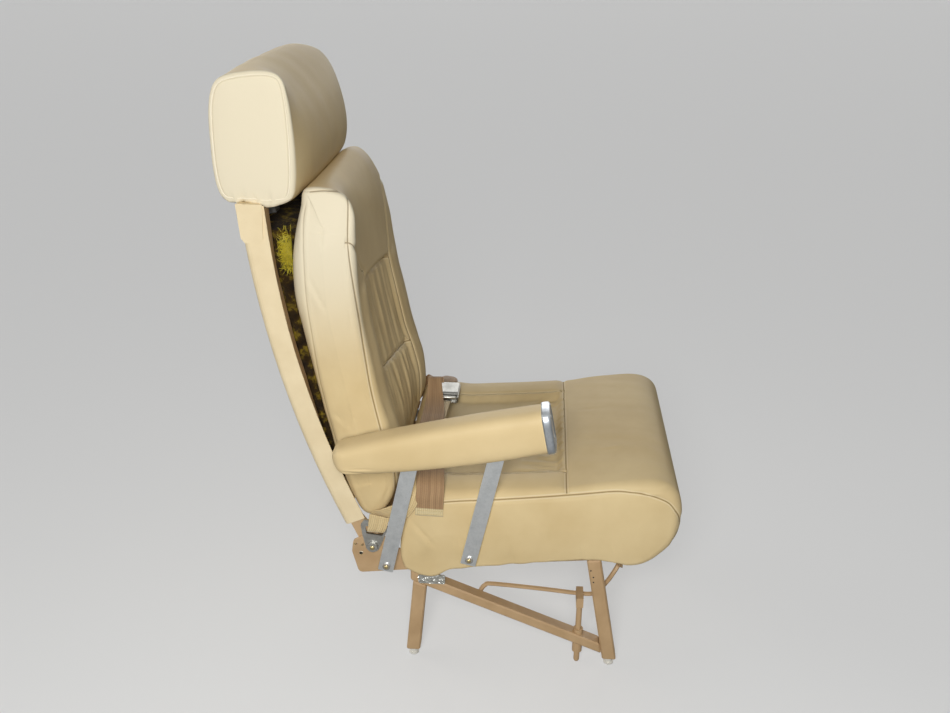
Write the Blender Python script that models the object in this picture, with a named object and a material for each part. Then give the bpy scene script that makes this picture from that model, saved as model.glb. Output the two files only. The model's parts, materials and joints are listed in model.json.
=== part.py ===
"""Single aircraft passenger seat with one folding armrest.

The seat faces -Y with +Z up.  It is drawn in seat coordinates, whose y is 0 at the front feet and
whose z is 0 at the floor; the seat_origin empty then puts the middle of the whole seat over x = y = 0.
Its right side, as its occupant sits, is -X and carries the armrest.  All sizes are in metres.
"""

from math import atan2, cos, pi, radians, sin, tan

import bmesh
import bpy
from mathutils import Matrix, Vector

for old in list(bpy.data.objects):
    bpy.data.objects.remove(old, do_unlink=True)

# Fits
GAP = 0.0003            # left between meshes that touch on the real seat
SIDES = {"right": -1, "left": 1}

# Under-frame
FRAME_HALF = 0.2165     # centre plane to the outer face of rails and legs
TUBE_W = 0.025          # square tube, across the seat
TUBE_EDGE = 0.0025      # outside corner radius of the square tubes
LEG_DEPTH = 0.0235      # leg tube, fore and aft
LEG_FOOT_Z = 0.014      # lower end of the legs
FRONT_FOOT_Y = 0.0
REAR_FOOT_Y = 0.342
FRONT_LEG_LEAN = radians(10.5)
REAR_LEG_LEAN = radians(-5.2)
SEAT_TILT = radians(5.7)
RAIL_H = 0.040
RAIL_FRONT_Y = 0.012
RAIL_REAR_Y = 0.362
RAIL_REAR_Z = 0.183     # underside of the rail at its rear end
DIAG_H = 0.0175
DIAG_PAD = 0.030        # length of the pad that joins the diagonal's rear end to the rail
DIAG_SLOPE = radians(21.9)
DIAG_FRONT_Z = 0.034    # underside of the diagonal where it meets the front leg
DIAG_REAR_Y = 0.345
CROSS_R = 0.014
CROSS_WALL = 0.002
STUD_R = 0.0065
STUD_HEAD_R = 0.0085
STUD_HEAD_H = 0.004

# Seat pan and cushion
PAN_T = 0.0016
PAN_LIP = 0.018
SKIRT_T = 0.0082        # cushion's skirt, outside the side plates
CUSHION_CROWN = 0.010
CUSHION_EDGE = 0.010
SKIRT_CLEAR = 0.0010    # between the side plates and the inside of the skirts

# Side plates and recline pivot
PLATE_T = 0.004
PLATE_FRONT_Y = 0.318
RECLINE_Y = 0.4068
RECLINE_Z = 0.2297
BOLT_R = 0.006
BOLT_CLEAR = 0.0005
HEX_R = 0.0085
HEX_H = 0.0055

# Backrest
SHELL_PROUD = 0.0025    # how far the side flanges stand outside the legs' outer faces
SHELL_T = 0.002
SHELL_BOTTOM = (0.4535, 0.264)
SHELL_TOP = (0.596, 0.8045)
SHELL_BOW = 0.0240      # how far the rear panel bows out behind its chord
FLANGE = 0.037
FLANGE_TOP = 0.041
SHELL_CORNER = 0.010
ARM_T = 0.006
ARM_EYE_R = 0.019
TORQUE_R = 0.015
TORQUE_WALL = 0.002
CRANK_L = 0.050
CRANK_T = 0.008
CRANK_END_R = 0.009
RECLINE_RANGE = radians(25)
BACK_INSET = 0.0045     # cushion's sides inside the flanges' outer faces
BACK_CROWN = 0.012
PADDING_BOTTOM = 0.330
PADDING_TOP = 0.765
PADDING_INSET = 0.021   # batting's sides inside the back arms

# Recline lock under the pan
LOCK_X = 0.030
LOCK_R = 0.013
LOCK_ROD_R = 0.005
LOCK_LEN = 0.170
LOCK_ROD_LEN = 0.176
LOCK_PIN_R = 0.003
LOCK_PIN_CLEAR = 0.0010   # lets the crank's pin follow its arc while the rod slides straight

# Headrest
HEAD_INSET = 0.005      # pad's sides inside the flanges' outer faces
HEAD_BOTTOM = 0.8075
HEAD_TOP = 0.990
HEAD_FRONT = 0.512
HEAD_REAR = 0.629
HEAD_CROWN = 0.015
POST_X = 0.075
POST_R = 0.006
POST_LEAN = radians(8.7)
POST_CLEAR = 0.0004
GUIDE_LEN = 0.130
GUIDE_W = 0.026
TAB_DROP = 0.060
TAB_T = 0.0016

# Armrest
LINK_W = 0.0254
LINK_T = 0.003
LINK_TOE = 0.0100       # lower pin to the square end
LINK_CORNER = 0.0012
LINK_LEAN = radians(12.2)
LINK_L = 0.242
LINK_CLEAR = 0.009      # between the cushion's side and the links
LINK_REAR = (0.3817, 0.2029)
LINK_FRONT = (0.2441, 0.2225)
PIN_R = 0.004
PIN_HEAD_R = 0.0065
PIN_HEAD_H = 0.0030
BOLT_REACH = 0.016      # how deep the link bolts go into the frame
PAD_W = 0.058
PAD_SLOPE = radians(11.3)
PAD_FRONT_Y = 0.134
PAD_REAR_Y = 0.462
PAD_CORNER = 0.0175
CORE_T = 0.004
CAP_T = 0.010
CAP_HALF = 0.032        # half the height of the pad's front end and its cap

# Seat lock: bail handle and two plungers
BAIL_R = 0.004
BAIL_CLEAR = 0.0065     # rails' inner faces to the middle of the bail rod
BAIL_SEAT = 0.0165      # how deep the blind holes for its ends go into the diagonals
BAIL_PIVOT = (0.227, 0.121)
PLUNGER_Y = 0.056
PLUNGER_R = 0.005
PLUNGER_TIP_Z = 0.001
BOSS_R = 0.0085
HEAD_BLOCK = (0.012, 0.0185)

# Lap belt
STRAP_W = 0.046
STRAP_T = 0.0024
STRAP_CLEAR = 0.0016     # lets a flat strap lie over the crown of the seat
SHACKLE_T = 0.004
SHACKLE_EYE_R = 0.0118
BUCKLE_INSET = 0.100     # buckle's middle, from the cushion's left side
BUCKLE_Y = 0.318
BUCKLE_L = 0.062
BUCKLE_W = 0.054
BUCKLE_H = 0.018
BUCKLE_LID = 0.006

RAIL_INNER = FRAME_HALF - TUBE_W
FRAME_MID = FRAME_HALF - TUBE_W / 2
PLATE_INNER = FRAME_HALF + GAP
PLATE_OUTER = PLATE_INNER + PLATE_T
SKIRT_INNER = PLATE_OUTER + SKIRT_CLEAR
CUSHION_HALF = SKIRT_INNER + SKIRT_T
BUCKLE_X = CUSHION_HALF - BUCKLE_INSET
SHELL_HALF = FRAME_HALF + SHELL_PROUD
BACK_HALF = SHELL_HALF - BACK_INSET
PADDING_HALF = SHELL_HALF - SHELL_T - ARM_T - PADDING_INSET
HEAD_HALF = SHELL_HALF - HEAD_INSET
LINK_X = -(CUSHION_HALF + LINK_CLEAR)     # inner face of the links
BAIL_X = RAIL_INNER - BAIL_CLEAR
SEAT_MID_X = (LINK_X - LINK_T - GAP - CORE_T - GAP - PAD_W + CUSHION_HALF) / 2

FINISHES = {
    "paint": ("B79C6E", 0.0, 0.45),
    "leather": ("DCC79A", 0.0, 0.50),
    "aluminium": ("B9BCBA", 1.0, 0.38),
    "steel": ("8E9092", 1.0, 0.35),
    "webbing": ("8F6F4A", 0.0, 0.90),
    "batting": ("C8AE2A", 0.0, 1.00),
    "dark": ("3A3835", 0.6, 0.50),
}


# Outlines in the side view, as (y, z) pairs
def meet(p, d, q, e):
    """Point where the line through p along d crosses the line through q along e."""
    det = d[0] * e[1] - d[1] * e[0]
    t = ((q[0] - p[0]) * e[1] - (q[1] - p[1]) * e[0]) / det
    return (p[0] + t * d[0], p[1] + t * d[1])


def rounded(points, radius, steps=4):
    """Closed polygon with each corner replaced by an arc of the radius, or less on short edges."""
    out = []
    count = len(points)
    for i in range(count):
        a, b, c = (Vector(points[k % count]) for k in (i - 1, i, i + 1))
        u, v = (a - b), (c - b)
        reach_a, reach_c = u.length, v.length
        u.normalize()
        v.normalize()
        half = u.angle(v) / 2
        setback = min(radius / tan(half), reach_a * 0.45, reach_c * 0.45)
        r = setback * tan(half)
        centre = b + (u + v).normalized() * (r / sin(half))
        start = b + u * setback - centre
        end = b + v * setback - centre
        turn = start.angle_signed(end)
        for k in range(steps + 1):
            spoke = start.copy()
            spoke.rotate(Matrix.Rotation(-turn * k / steps, 2))
            out.append(tuple(centre + spoke))
    return out


def smooth_loop(points, steps=3):
    """Closed Catmull-Rom curve through the points."""
    out = []
    count = len(points)
    for i in range(count):
        p0, p1, p2, p3 = (Vector(points[(i + k) % count]) for k in (-1, 0, 1, 2))
        for s in range(steps):
            t = s / steps
            out.append(tuple(0.5 * (2 * p1 + (p2 - p0) * t
                                    + (2 * p0 - 5 * p1 + 4 * p2 - p3) * t * t
                                    + (3 * p1 - p0 - 3 * p2 + p3) * t ** 3)))
    return out


def smooth_path(points, steps=4):
    """Open Catmull-Rom curve through 3-D points, ends included."""
    pts = [Vector(p) for p in points]
    pts = [2 * pts[0] - pts[1]] + pts + [2 * pts[-1] - pts[-2]]
    out = []
    for i in range(1, len(pts) - 2):
        p0, p1, p2, p3 = pts[i - 1:i + 3]
        for s in range(steps):
            t = s / steps
            out.append(0.5 * (2 * p1 + (p2 - p0) * t + (2 * p0 - 5 * p1 + 4 * p2 - p3) * t * t
                              + (3 * p1 - p0 - 3 * p2 + p3) * t ** 3))
    out.append(pts[-2])
    return out


def inset(loop, distance):
    """Closed loop moved inwards by the distance along its averaged edge normals."""
    area = sum(a[0] * b[1] - b[0] * a[1] for a, b in zip(loop, loop[1:] + loop[:1]))
    turn = 1 if area > 0 else -1
    out = []
    for i, point in enumerate(loop):
        before, after = Vector(loop[i - 1]), Vector(loop[(i + 1) % len(loop)])
        run = (after - before).normalized()
        out.append((point[0] - turn * run.y * distance, point[1] + turn * run.x * distance))
    return out


# Meshes, drawn in seat coordinates
def loft(loops):
    """Closed body through loops of equally many points, with a face over each end."""
    bm = bmesh.new()
    rows = [[bm.verts.new(p) for p in loop] for loop in loops]
    for near, far in zip(rows, rows[1:]):
        for i in range(len(near)):
            j = (i + 1) % len(near)
            bm.faces.new((near[i], near[j], far[j], far[i]))
    bm.faces.new(rows[0])
    bm.faces.new(rows[-1])
    return bm


def prism(outline, x0, x1):
    """Side-view outline carried across the seat from x0 to x1."""
    return loft([[(x, y, z) for y, z in outline] for x in (x0, x1)])


def box(x0, x1, y0, y1, z0, z1):
    return prism([(y0, z0), (y1, z0), (y1, z1), (y0, z1)], x0, x1)


def rod(start, end, radius, segments=16, bore=0.0):
    """Round bar between two points, or a tube with open ends where it has a bore."""
    start, end = Vector(start), Vector(end)
    axis = (end - start).normalized()
    side = axis.orthogonal().normalized()
    other = axis.cross(side)

    def ring(centre, r):
        return [centre + side * (r * cos(2 * pi * k / segments)) + other * (r * sin(2 * pi * k / segments))
                for k in range(segments)]

    if not bore:
        return loft([ring(start, radius), ring(end, radius)])
    bm = bmesh.new()
    rows = [[bm.verts.new(p) for p in ring(centre, r)]
            for centre, r in ((start, radius), (end, radius), (end, bore), (start, bore))]
    for near, far in zip(rows, rows[1:] + rows[:1]):
        for k in range(segments):
            j = (k + 1) % segments
            bm.faces.new((near[k], near[j], far[j], far[k]))
    return bm


def turned(start, direction, steps, segments=16):
    """Stepped round piece: steps are (distance along, radius) pairs from its one end to its other."""
    start, axis = Vector(start), Vector(direction).normalized()
    side = axis.orthogonal().normalized()
    other = axis.cross(side)
    return loft([[start + axis * d + side * (r * cos(2 * pi * k / segments))
                  + other * (r * sin(2 * pi * k / segments)) for k in range(segments)]
                 for d, r in steps])


def ribbon(path, widths, thickness):
    """Flat strap along the path, its width lying fore and aft; widths run from its one end to its other."""
    loops = []
    for i, point in enumerate(path):
        run = (path[min(i + 1, len(path) - 1)] - path[max(i - 1, 0)]).normalized()
        share = i / (len(path) - 1) * (len(widths) - 1)
        k = min(int(share), len(widths) - 2)
        width = widths[k] + (widths[k + 1] - widths[k]) * (share - k)
        across = Vector((0, 1, 0))
        across = (across - run * across.dot(run)).normalized() * (width / 2)
        up = run.cross(across).normalized() * (thickness / 2)
        loops.append([point - across - up, point + across - up, point + across + up, point - across + up])
    return loft(loops)


# Objects
def make_material(name, finish):
    colour, metallic, roughness = FINISHES[finish]
    material = bpy.data.materials.new(name + "_" + finish)
    material.use_nodes = True
    shader = material.node_tree.nodes["Principled BSDF"]
    levels = [int(colour[k:k + 2], 16) / 255 for k in (0, 2, 4)]
    linear = [((c + 0.055) / 1.055) ** 2.4 if c > 0.04045 else c / 12.92 for c in levels]
    shader.inputs["Base Color"].default_value = (*linear, 1.0)
    shader.inputs["Metallic"].default_value = metallic
    shader.inputs["Roughness"].default_value = roughness
    return material


def add_body(name, pivot, parent):
    """Empty on a joint's axis, which carries the pieces that move with that joint."""
    empty = bpy.data.objects.new(name + "_axis", None)
    bpy.context.collection.objects.link(empty)
    pivots[name] = Vector(pivot)
    empty.parent = bodies.get(parent)
    empty.location = Vector(pivot) - pivots.get(parent, Vector())
    bodies[name] = empty


def link_object(name, mesh, body):
    obj = bpy.data.objects.new(name, mesh)
    bpy.context.collection.objects.link(obj)
    obj.parent = bodies[body]
    return obj


def add_piece(name, bm, finish, body="frame", edge=0.0, edge_steps=1, smooth=False):
    """Named object from a bmesh in seat coordinates, with its edges bevelled where edge is given."""
    bmesh.ops.recalc_face_normals(bm, faces=bm.faces)
    bmesh.ops.translate(bm, verts=bm.verts, vec=-pivots[body])
    mesh = bpy.data.meshes.new(name)
    bm.to_mesh(mesh)
    bm.free()
    if smooth:
        mesh.shade_smooth()
        mesh.set_sharp_from_angle(angle=radians(35))
    mesh.materials.append(make_material(name, finish))
    obj = link_object(name, mesh, body)
    if edge:
        bevel = obj.modifiers.new("edges", "BEVEL")
        bevel.width = edge
        bevel.segments = edge_steps
        bevel.limit_method = "ANGLE"
        bevel.angle_limit = radians(40)
    return obj


def cut(obj, bm, body="frame", operation="DIFFERENCE"):
    """Boolean of the object with a hidden helper drawn in seat coordinates."""
    bmesh.ops.recalc_face_normals(bm, faces=bm.faces)
    bmesh.ops.translate(bm, verts=bm.verts, vec=-pivots[body])
    mesh = bpy.data.meshes.new(obj.name + "_cutter")
    bm.to_mesh(mesh)
    bm.free()
    helper = link_object(obj.name + "_cutter", mesh, body)
    helper.hide_render = True
    helper.display_type = "WIRE"
    step = obj.modifiers.new(operation.lower(), "BOOLEAN")
    step.operation = operation
    step.object = helper
    return helper


# Lines that several pieces share
def rail_bottom(y):
    return RAIL_REAR_Z + (RAIL_REAR_Y - y) * tan(SEAT_TILT)


def rail_top(y):
    return rail_bottom(y) + RAIL_H / cos(SEAT_TILT)


def pan_top(y):
    return rail_top(y) + (GAP + PAN_T) / cos(SEAT_TILT)


def shell_point(t, depth=0.0):
    """Point on the shell's rear profile: t is 0 at the bottom and 1 at the top, depth is forwards."""
    low, high = Vector(SHELL_BOTTOM), Vector(SHELL_TOP)
    chord = high - low
    radius = (chord.length ** 2 / 4 + SHELL_BOW ** 2) / (2 * SHELL_BOW)
    half = atan2(chord.length / 2, radius - SHELL_BOW)
    rearward = Vector((chord.y, -chord.x)).normalized()
    centre = (low + high) / 2 + rearward * (SHELL_BOW - radius)
    angle = half * (2 * t - 1)
    spoke = rearward * cos(angle) + chord.normalized() * sin(angle)
    return tuple(centre + spoke * (radius - depth))


def shell_rear_y(z, depth=0.0):
    """The y of the shell's rear profile, moved forwards by depth, at a height."""
    below, above = 0.0, 1.0
    for _ in range(30):
        middle = (below + above) / 2
        if shell_point(middle, depth)[1] < z:
            below = middle
        else:
            above = middle
    return shell_point(below, depth)[0]


# Bodies: each empty sits on the axis that its pieces turn about or slide along
PARALLEL = Vector((-sin(LINK_LEAN), cos(LINK_LEAN))) * LINK_L
UPPER_REAR = tuple(Vector(LINK_REAR) + PARALLEL)
UPPER_FRONT = tuple(Vector(LINK_FRONT) + PARALLEL)
CRANK_DIR = Vector((sin(RECLINE_RANGE / 2), -cos(RECLINE_RANGE / 2)))
CRANK_END = Vector((RECLINE_Y, RECLINE_Z)) + CRANK_DIR * CRANK_L
LOCK_Z = RECLINE_Z - CRANK_L * (1 + cos(RECLINE_RANGE / 2)) / 2
PIVOT_X = LINK_X - LINK_T / 2
pivots = {}
bodies = {}
add_body("seat_origin", (0, 0, 0), None)
bodies["seat_origin"].location = (-SEAT_MID_X, -(HEAD_REAR + HEAD_CROWN * 0.3 - 0.099) / 2, 0)
add_body("frame", (0, 0, 0), "seat_origin")
add_body("backrest", (0, RECLINE_Y, RECLINE_Z), "frame")
add_body("lock_slide", (LOCK_X, CRANK_END.x, LOCK_Z), "frame")
add_body("headrest", (0, shell_rear_y(0.70, 0.012), 0.70), "backrest")
add_body("rear_link", (PIVOT_X, *LINK_REAR), "frame")
add_body("front_link", (PIVOT_X, *LINK_FRONT), "frame")
add_body("armrest", (PIVOT_X, *UPPER_REAR), "rear_link")
add_body("bail", (0, *BAIL_PIVOT), "frame")
add_body("right_lock_pin", (-FRAME_MID, PLUNGER_Y, 0.05), "frame")
add_body("left_lock_pin", (FRAME_MID, PLUNGER_Y, 0.05), "frame")
add_body("buckle_lever", (BUCKLE_X - BUCKLE_L / 2 + 0.006, BUCKLE_Y, 0.3580), "frame")


# Legs, diagonals, rails and cross tubes
DIAG_DIR = (cos(DIAG_SLOPE), sin(DIAG_SLOPE))
RAIL_DIR = (cos(SEAT_TILT), -sin(SEAT_TILT))
DIAG_LOW = (FRONT_FOOT_Y + 0.034, DIAG_FRONT_Z)
DIAG_HIGH = (DIAG_LOW[0] - sin(DIAG_SLOPE) * DIAG_H, DIAG_LOW[1] + cos(DIAG_SLOPE) * DIAG_H)


def leg_outline(foot_y, lean, top_point, top_dir):
    """Leg between a level foot and the line that cuts its top."""
    run = (sin(lean), cos(lean))
    out = []
    for shift in (-LEG_DEPTH / 2, LEG_DEPTH / 2):
        base = (foot_y + shift / cos(lean), LEG_FOOT_Z)
        out.append((base, meet(base, run, top_point, top_dir)))
    (a, b), (c, d) = out
    return [a, c, d, b]


def build_under_frame():
    front_top = (0.0, rail_bottom(0.0) - GAP)
    front_leg = leg_outline(FRONT_FOOT_Y, FRONT_LEG_LEAN, front_top, RAIL_DIR)
    rear_top = (DIAG_LOW[0], DIAG_LOW[1] - GAP)
    rear_leg = leg_outline(REAR_FOOT_Y, REAR_LEG_LEAN, rear_top, DIAG_DIR)
    leg_back = (front_leg[1][0] + GAP, front_leg[1][1])
    leg_run = (sin(FRONT_LEG_LEAN), cos(FRONT_LEG_LEAN))
    rail_line = (0.0, rail_bottom(0.0) - GAP)
    rear_end, pad_end = (DIAG_REAR_Y, 0.0), (DIAG_REAR_Y - DIAG_PAD, 0.0)
    diagonal = [meet(DIAG_LOW, DIAG_DIR, leg_back, leg_run), meet(DIAG_LOW, DIAG_DIR, rear_end, (0, 1)),
                meet(rail_line, RAIL_DIR, rear_end, (0, 1)), meet(rail_line, RAIL_DIR, pad_end, (0, 1)),
                meet(DIAG_HIGH, DIAG_DIR, pad_end, (0, 1)), meet(DIAG_HIGH, DIAG_DIR, leg_back, leg_run)]
    rail = [(y, rail_bottom(y)) for y in (RAIL_FRONT_Y, RAIL_REAR_Y)]
    rail += [(y, rail_top(y)) for y in (RAIL_REAR_Y, RAIL_FRONT_Y)]
    for side, sign in SIDES.items():
        x0, x1 = sign * RAIL_INNER, sign * FRAME_HALF
        add_piece(side + "_front_leg", prism(front_leg, x0, x1), "paint", edge=TUBE_EDGE)
        add_piece(side + "_rear_leg", prism(rear_leg, x0, x1), "paint", edge=TUBE_EDGE)
        tube = add_piece(side + "_diagonal_tube", prism(diagonal, x0, x1), "paint", edge=TUBE_EDGE)
        boss_hole = rod((sign * FRAME_MID, PLUNGER_Y, 0.0), (sign * FRAME_MID, PLUNGER_Y, 0.12),
                        BOSS_R + GAP, 20)
        cut(tube, boss_hole)
        bail_hole = rod((sign * (RAIL_INNER - 0.01), *BAIL_PIVOT), (sign * (RAIL_INNER + BAIL_SEAT), *BAIL_PIVOT),
                        BAIL_R + BOLT_CLEAR, 16)
        cut(tube, bail_hole)
        side_rail = add_piece(side + "_side_rail", prism(rail, x0, x1), "paint", edge=TUBE_EDGE)
        if side == "right":
            cut(side_rail, rod((x1 + BOLT_REACH + GAP, *LINK_FRONT), (x1 - 0.01, *LINK_FRONT), PIN_R + GAP, 12))
        build_feet(side, sign)
    for name, y in (("front_cross_tube", 0.050), ("rear_cross_tube", 0.345)):
        z = (rail_bottom(y) + rail_top(y)) / 2
        reach = RAIL_INNER - GAP
        add_piece(name, rod((-reach, y, z), (reach, y, z), CROSS_R, 20, CROSS_R - CROSS_WALL), "paint", smooth=True)


def build_feet(side, sign):
    """Steel studs that screw into the legs and stand on the floor fitting."""
    for end, y in (("front", FRONT_FOOT_Y), ("rear", REAR_FOOT_Y)):
        steps = [(0.0, STUD_HEAD_R - 0.001), (0.001, STUD_HEAD_R), (STUD_HEAD_H, STUD_HEAD_R),
                 (STUD_HEAD_H, STUD_R), (LEG_FOOT_Z - GAP, STUD_R)]
        add_piece(f"{side}_{end}_foot_stud", turned((sign * FRAME_MID, y, 0), (0, 0, 1), steps), "steel", smooth=True)


def build_side_plates():
    """Painted plates that carry the recline pivots behind the rails."""
    outline = rounded([(PLATE_FRONT_Y, rail_bottom(PLATE_FRONT_Y)), (0.4320, 0.1735), (0.4430, 0.2150),
                       (0.4400, 0.2370), (0.4200, 0.2480), (0.3680, 0.2440), (0.3650, 0.2230),
                       (PLATE_FRONT_Y, 0.2180)], 0.008)
    for side, sign in SIDES.items():
        plate = add_piece(side + "_side_plate", prism(outline, sign * PLATE_INNER, sign * PLATE_OUTER), "paint",
                          edge=0.0006)
        reach = sign * (PLATE_OUTER + 0.01)
        for y, z, r in ((RECLINE_Y, RECLINE_Z, BOLT_R + GAP), (0.4276, 0.2127, 0.0035), (0.4340, 0.2305, 0.0016),
                        (0.4240, 0.2297, 0.0016)):
            cut(plate, rod((sign * (PLATE_INNER - 0.01), y, z), (reach, y, z), r, 16))
        if side == "right":
            cut(plate, rod((sign * (PLATE_INNER - 0.01), *LINK_REAR), (reach, *LINK_REAR), PIN_R + GAP, 12))
        head = PLATE_OUTER + GAP + SHACKLE_T + GAP
        inner = FRAME_HALF - ARM_T - 0.004
        steps = [(0, HEX_R), (HEX_H, HEX_R), (HEX_H, BOLT_R), (head + HEX_H - inner, BOLT_R)]
        add_piece(side + "_recline_bolt",
                  turned((sign * (head + HEX_H), RECLINE_Y, RECLINE_Z), (-sign, 0, 0), steps, 18), "steel")
    y0, y1 = 0.286, 0.331
    drop = 0.0165
    strip = [(y0, rail_bottom(y0) - 0.019 - drop), (y1, rail_bottom(y1) - 0.014 - drop),
             (y1 + 0.002, rail_bottom(y1) - 0.014), (y0, rail_bottom(y0) - 0.017)]
    add_piece("corner_plate", prism(rounded(strip, 0.003, 3), -PLATE_INNER, -PLATE_INNER - 0.0012), "aluminium")


def build_pan():
    y0, y1 = RAIL_FRONT_Y, RAIL_REAR_Y - 0.010
    front = [(y0 - 0.012, pan_top(y0) - PAN_LIP), (y0 - 0.012, pan_top(y0) - 0.008), (y0 - 0.004, pan_top(y0))]
    outline = front + [(y1, pan_top(y1)), (y1, pan_top(y1) - PAN_T), (y0 - 0.003, pan_top(y0) - PAN_T),
                       (y0 - 0.012 + PAN_T, pan_top(y0) - 0.009), (y0 - 0.012 + PAN_T, pan_top(y0) - PAN_LIP)]
    pan = add_piece("seat_pan", prism(outline, -FRAME_HALF, FRAME_HALF), "aluminium")
    for row_y in (0.100, 0.190, 0.280):
        for column_x in (-0.120, 0.0, 0.120):
            cut(pan, rod((column_x, row_y, 0.1), (column_x, row_y, 0.4), 0.026, 20))


# Soft pieces: plain closed forms at their true size
SEAT_SIDE = [(0.361, 0.205), (0.358, 0.262), (0.349, 0.312), (0.330, 0.338), (0.262, 0.334), (0.180, 0.337),
             (0.086, 0.344), (0.020, 0.357), (-0.035, 0.362), (-0.072, 0.357), (-0.092, 0.343), (-0.099, 0.318),
             (-0.097, 0.285), (-0.086, 0.254), (-0.062, 0.228), (-0.036, 0.216), (-0.008, 0.215), (0.010, 0.222),
             (0.090, 0.217), (0.190, 0.206), (0.280, 0.193), (0.345, 0.188)]
BACK_SIDE = [(0.495, 0.828), (0.502, 0.798), (0.514, 0.760), (0.522, 0.715), (0.522, 0.660), (0.514, 0.612),
             (0.503, 0.556), (0.490, 0.494), (0.475, 0.428), (0.458, 0.362), (0.442, 0.314), (0.422, 0.281),
             (0.398, 0.284), (0.378, 0.308), (0.366, 0.346), (0.376, 0.395), (0.391, 0.446), (0.399, 0.495),
             (0.406, 0.550), (0.416, 0.605), (0.425, 0.661), (0.431, 0.709), (0.434, 0.760), (0.432, 0.800),
             (0.438, 0.822), (0.462, 0.830)]


EDGE_SHARES = ((0.0, 0.0), (0.35, 0.0), (0.7, 0.0), (0.95, 0.06), (0.985, 0.35), (1.0, 1.0))


def crowned(loop, half, edge, crown, lift):
    """Sections of a cushion from side to side: the loop shrinks at its edges and swells in its middle.

    lift(y, z) gives the direction and share of the swelling at a point of the loop.
    """
    sections = []
    for share, shrink in [(-a, b) for a, b in reversed(EDGE_SHARES[1:])] + list(EDGE_SHARES):
        swell = crown * (1 - share * share)
        ring = []
        for y, z in inset(loop, shrink * edge):
            dy, dz = lift(y, z)
            ring.append((share * half, y + dy * swell, z + dz * swell))
        sections.append(ring)
    return loft(sections)


def seat_top(x, y):
    """Height of the seat cushion's upper face."""
    loop = smooth_loop(SEAT_SIDE, 6)
    height = max(a[1] + (b[1] - a[1]) * (y - a[0]) / (b[0] - a[0])
                 for a, b in zip(loop, loop[1:] + loop[:1]) if min(a[0], b[0]) <= y < max(a[0], b[0]))
    share = min(abs(x) / CUSHION_HALF, 1.0)
    for (a, low), (b, high) in zip(EDGE_SHARES, EDGE_SHARES[1:]):
        if a <= share <= b:
            shrink = low + (high - low) * (share - a) / (b - a)
            swell = 1 - (a * a + (b * b - a * a) * (share - a) / (b - a))
    return height + CUSHION_CROWN * swell - CUSHION_EDGE * shrink


def build_seat_cushion():
    def lift(y, z):
        return (0.0, min(max((z - 0.29) / 0.04, 0.0), 1.0))

    cushion = add_piece("seat_cushion", crowned(smooth_loop(SEAT_SIDE, 2), CUSHION_HALF, CUSHION_EDGE, CUSHION_CROWN, lift),
                        "leather", smooth=True)
    y0, y1 = RAIL_FRONT_Y - 0.016, 0.40
    well = [(y0, 0.15), (y1, 0.15), (y1, pan_top(y1) + GAP), (y0, pan_top(y0) + GAP)]
    cut(cushion, prism(well, -SKIRT_INNER, SKIRT_INNER))
    cut(cushion, rod((-RAIL_INNER, *LINK_FRONT), (LINK_X - LINK_T, *LINK_FRONT), PIN_HEAD_R + 0.001, 16))
    return cushion


def build_backrest():
    """Formed sheet shell with side flanges, its arms and the torque tube at the pivot."""
    stations = 14
    rows = []
    for i in range(stations + 1):
        t = i / stations
        flange = FLANGE + (FLANGE_TOP - FLANGE) * max(0.0, (t - 0.6) / 0.4)
        row = [(-SHELL_HALF, flange)]
        for k in range(5):
            a = pi / 2 * k / 4
            row.append((-SHELL_HALF + SHELL_CORNER * (1 - cos(a)), SHELL_CORNER * (1 - sin(a))))
        row += [(x, depth) for x, depth in ((-0.1, 0.0), (0.0, 0.0))]
        row += [(-x, depth) for x, depth in reversed(row[:-1])]
        section = [(x, *shell_point(t, depth)) for x, depth in row]
        rows.append([(x, y, min(z, SHELL_TOP[1])) for x, y, z in section])
    bm = bmesh.new()
    grid = [[bm.verts.new(p) for p in row] for row in rows]
    for low, high in zip(grid, grid[1:]):
        for i in range(len(low) - 1):
            bm.faces.new((low[i], low[i + 1], high[i + 1], high[i]))
    shell = add_piece("back_shell", bm, "paint", "backrest", smooth=True)
    wall = shell.modifiers.new("sheet", "SOLIDIFY")
    wall.thickness = SHELL_T
    wall.offset = -1.0
    for side, sign in SIDES.items():
        build_back_arm(side, sign)
    reach = FRAME_HALF - ARM_T - 2 * GAP
    tube = rod((-reach, RECLINE_Y, RECLINE_Z), (reach, RECLINE_Y, RECLINE_Z), TORQUE_R, 20,
               TORQUE_R - TORQUE_WALL)
    torque = add_piece("torque_tube", tube, "paint", "backrest", smooth=True)
    root = Vector((RECLINE_Y, RECLINE_Z)) + CRANK_DIR * (TORQUE_R - TORQUE_WALL / 2)
    aside = Vector((-CRANK_DIR.y, CRANK_DIR.x)) * CRANK_END_R
    end = [tuple(CRANK_END - aside * cos(a) + CRANK_DIR * (CRANK_END_R * sin(a)))
           for a in (pi * k / 6 for k in range(7))]
    crank = [tuple(root - aside * 1.1), *end, tuple(root + aside * 1.1)]
    cut(torque, prism(crank, LOCK_X - CRANK_T / 2, LOCK_X + CRANK_T / 2), "backrest", "UNION")
    cut(torque, rod((LOCK_X - CRANK_T, *CRANK_END), (LOCK_X + CRANK_T, *CRANK_END), LOCK_PIN_R + LOCK_PIN_CLEAR, 12),
        "backrest")


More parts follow.
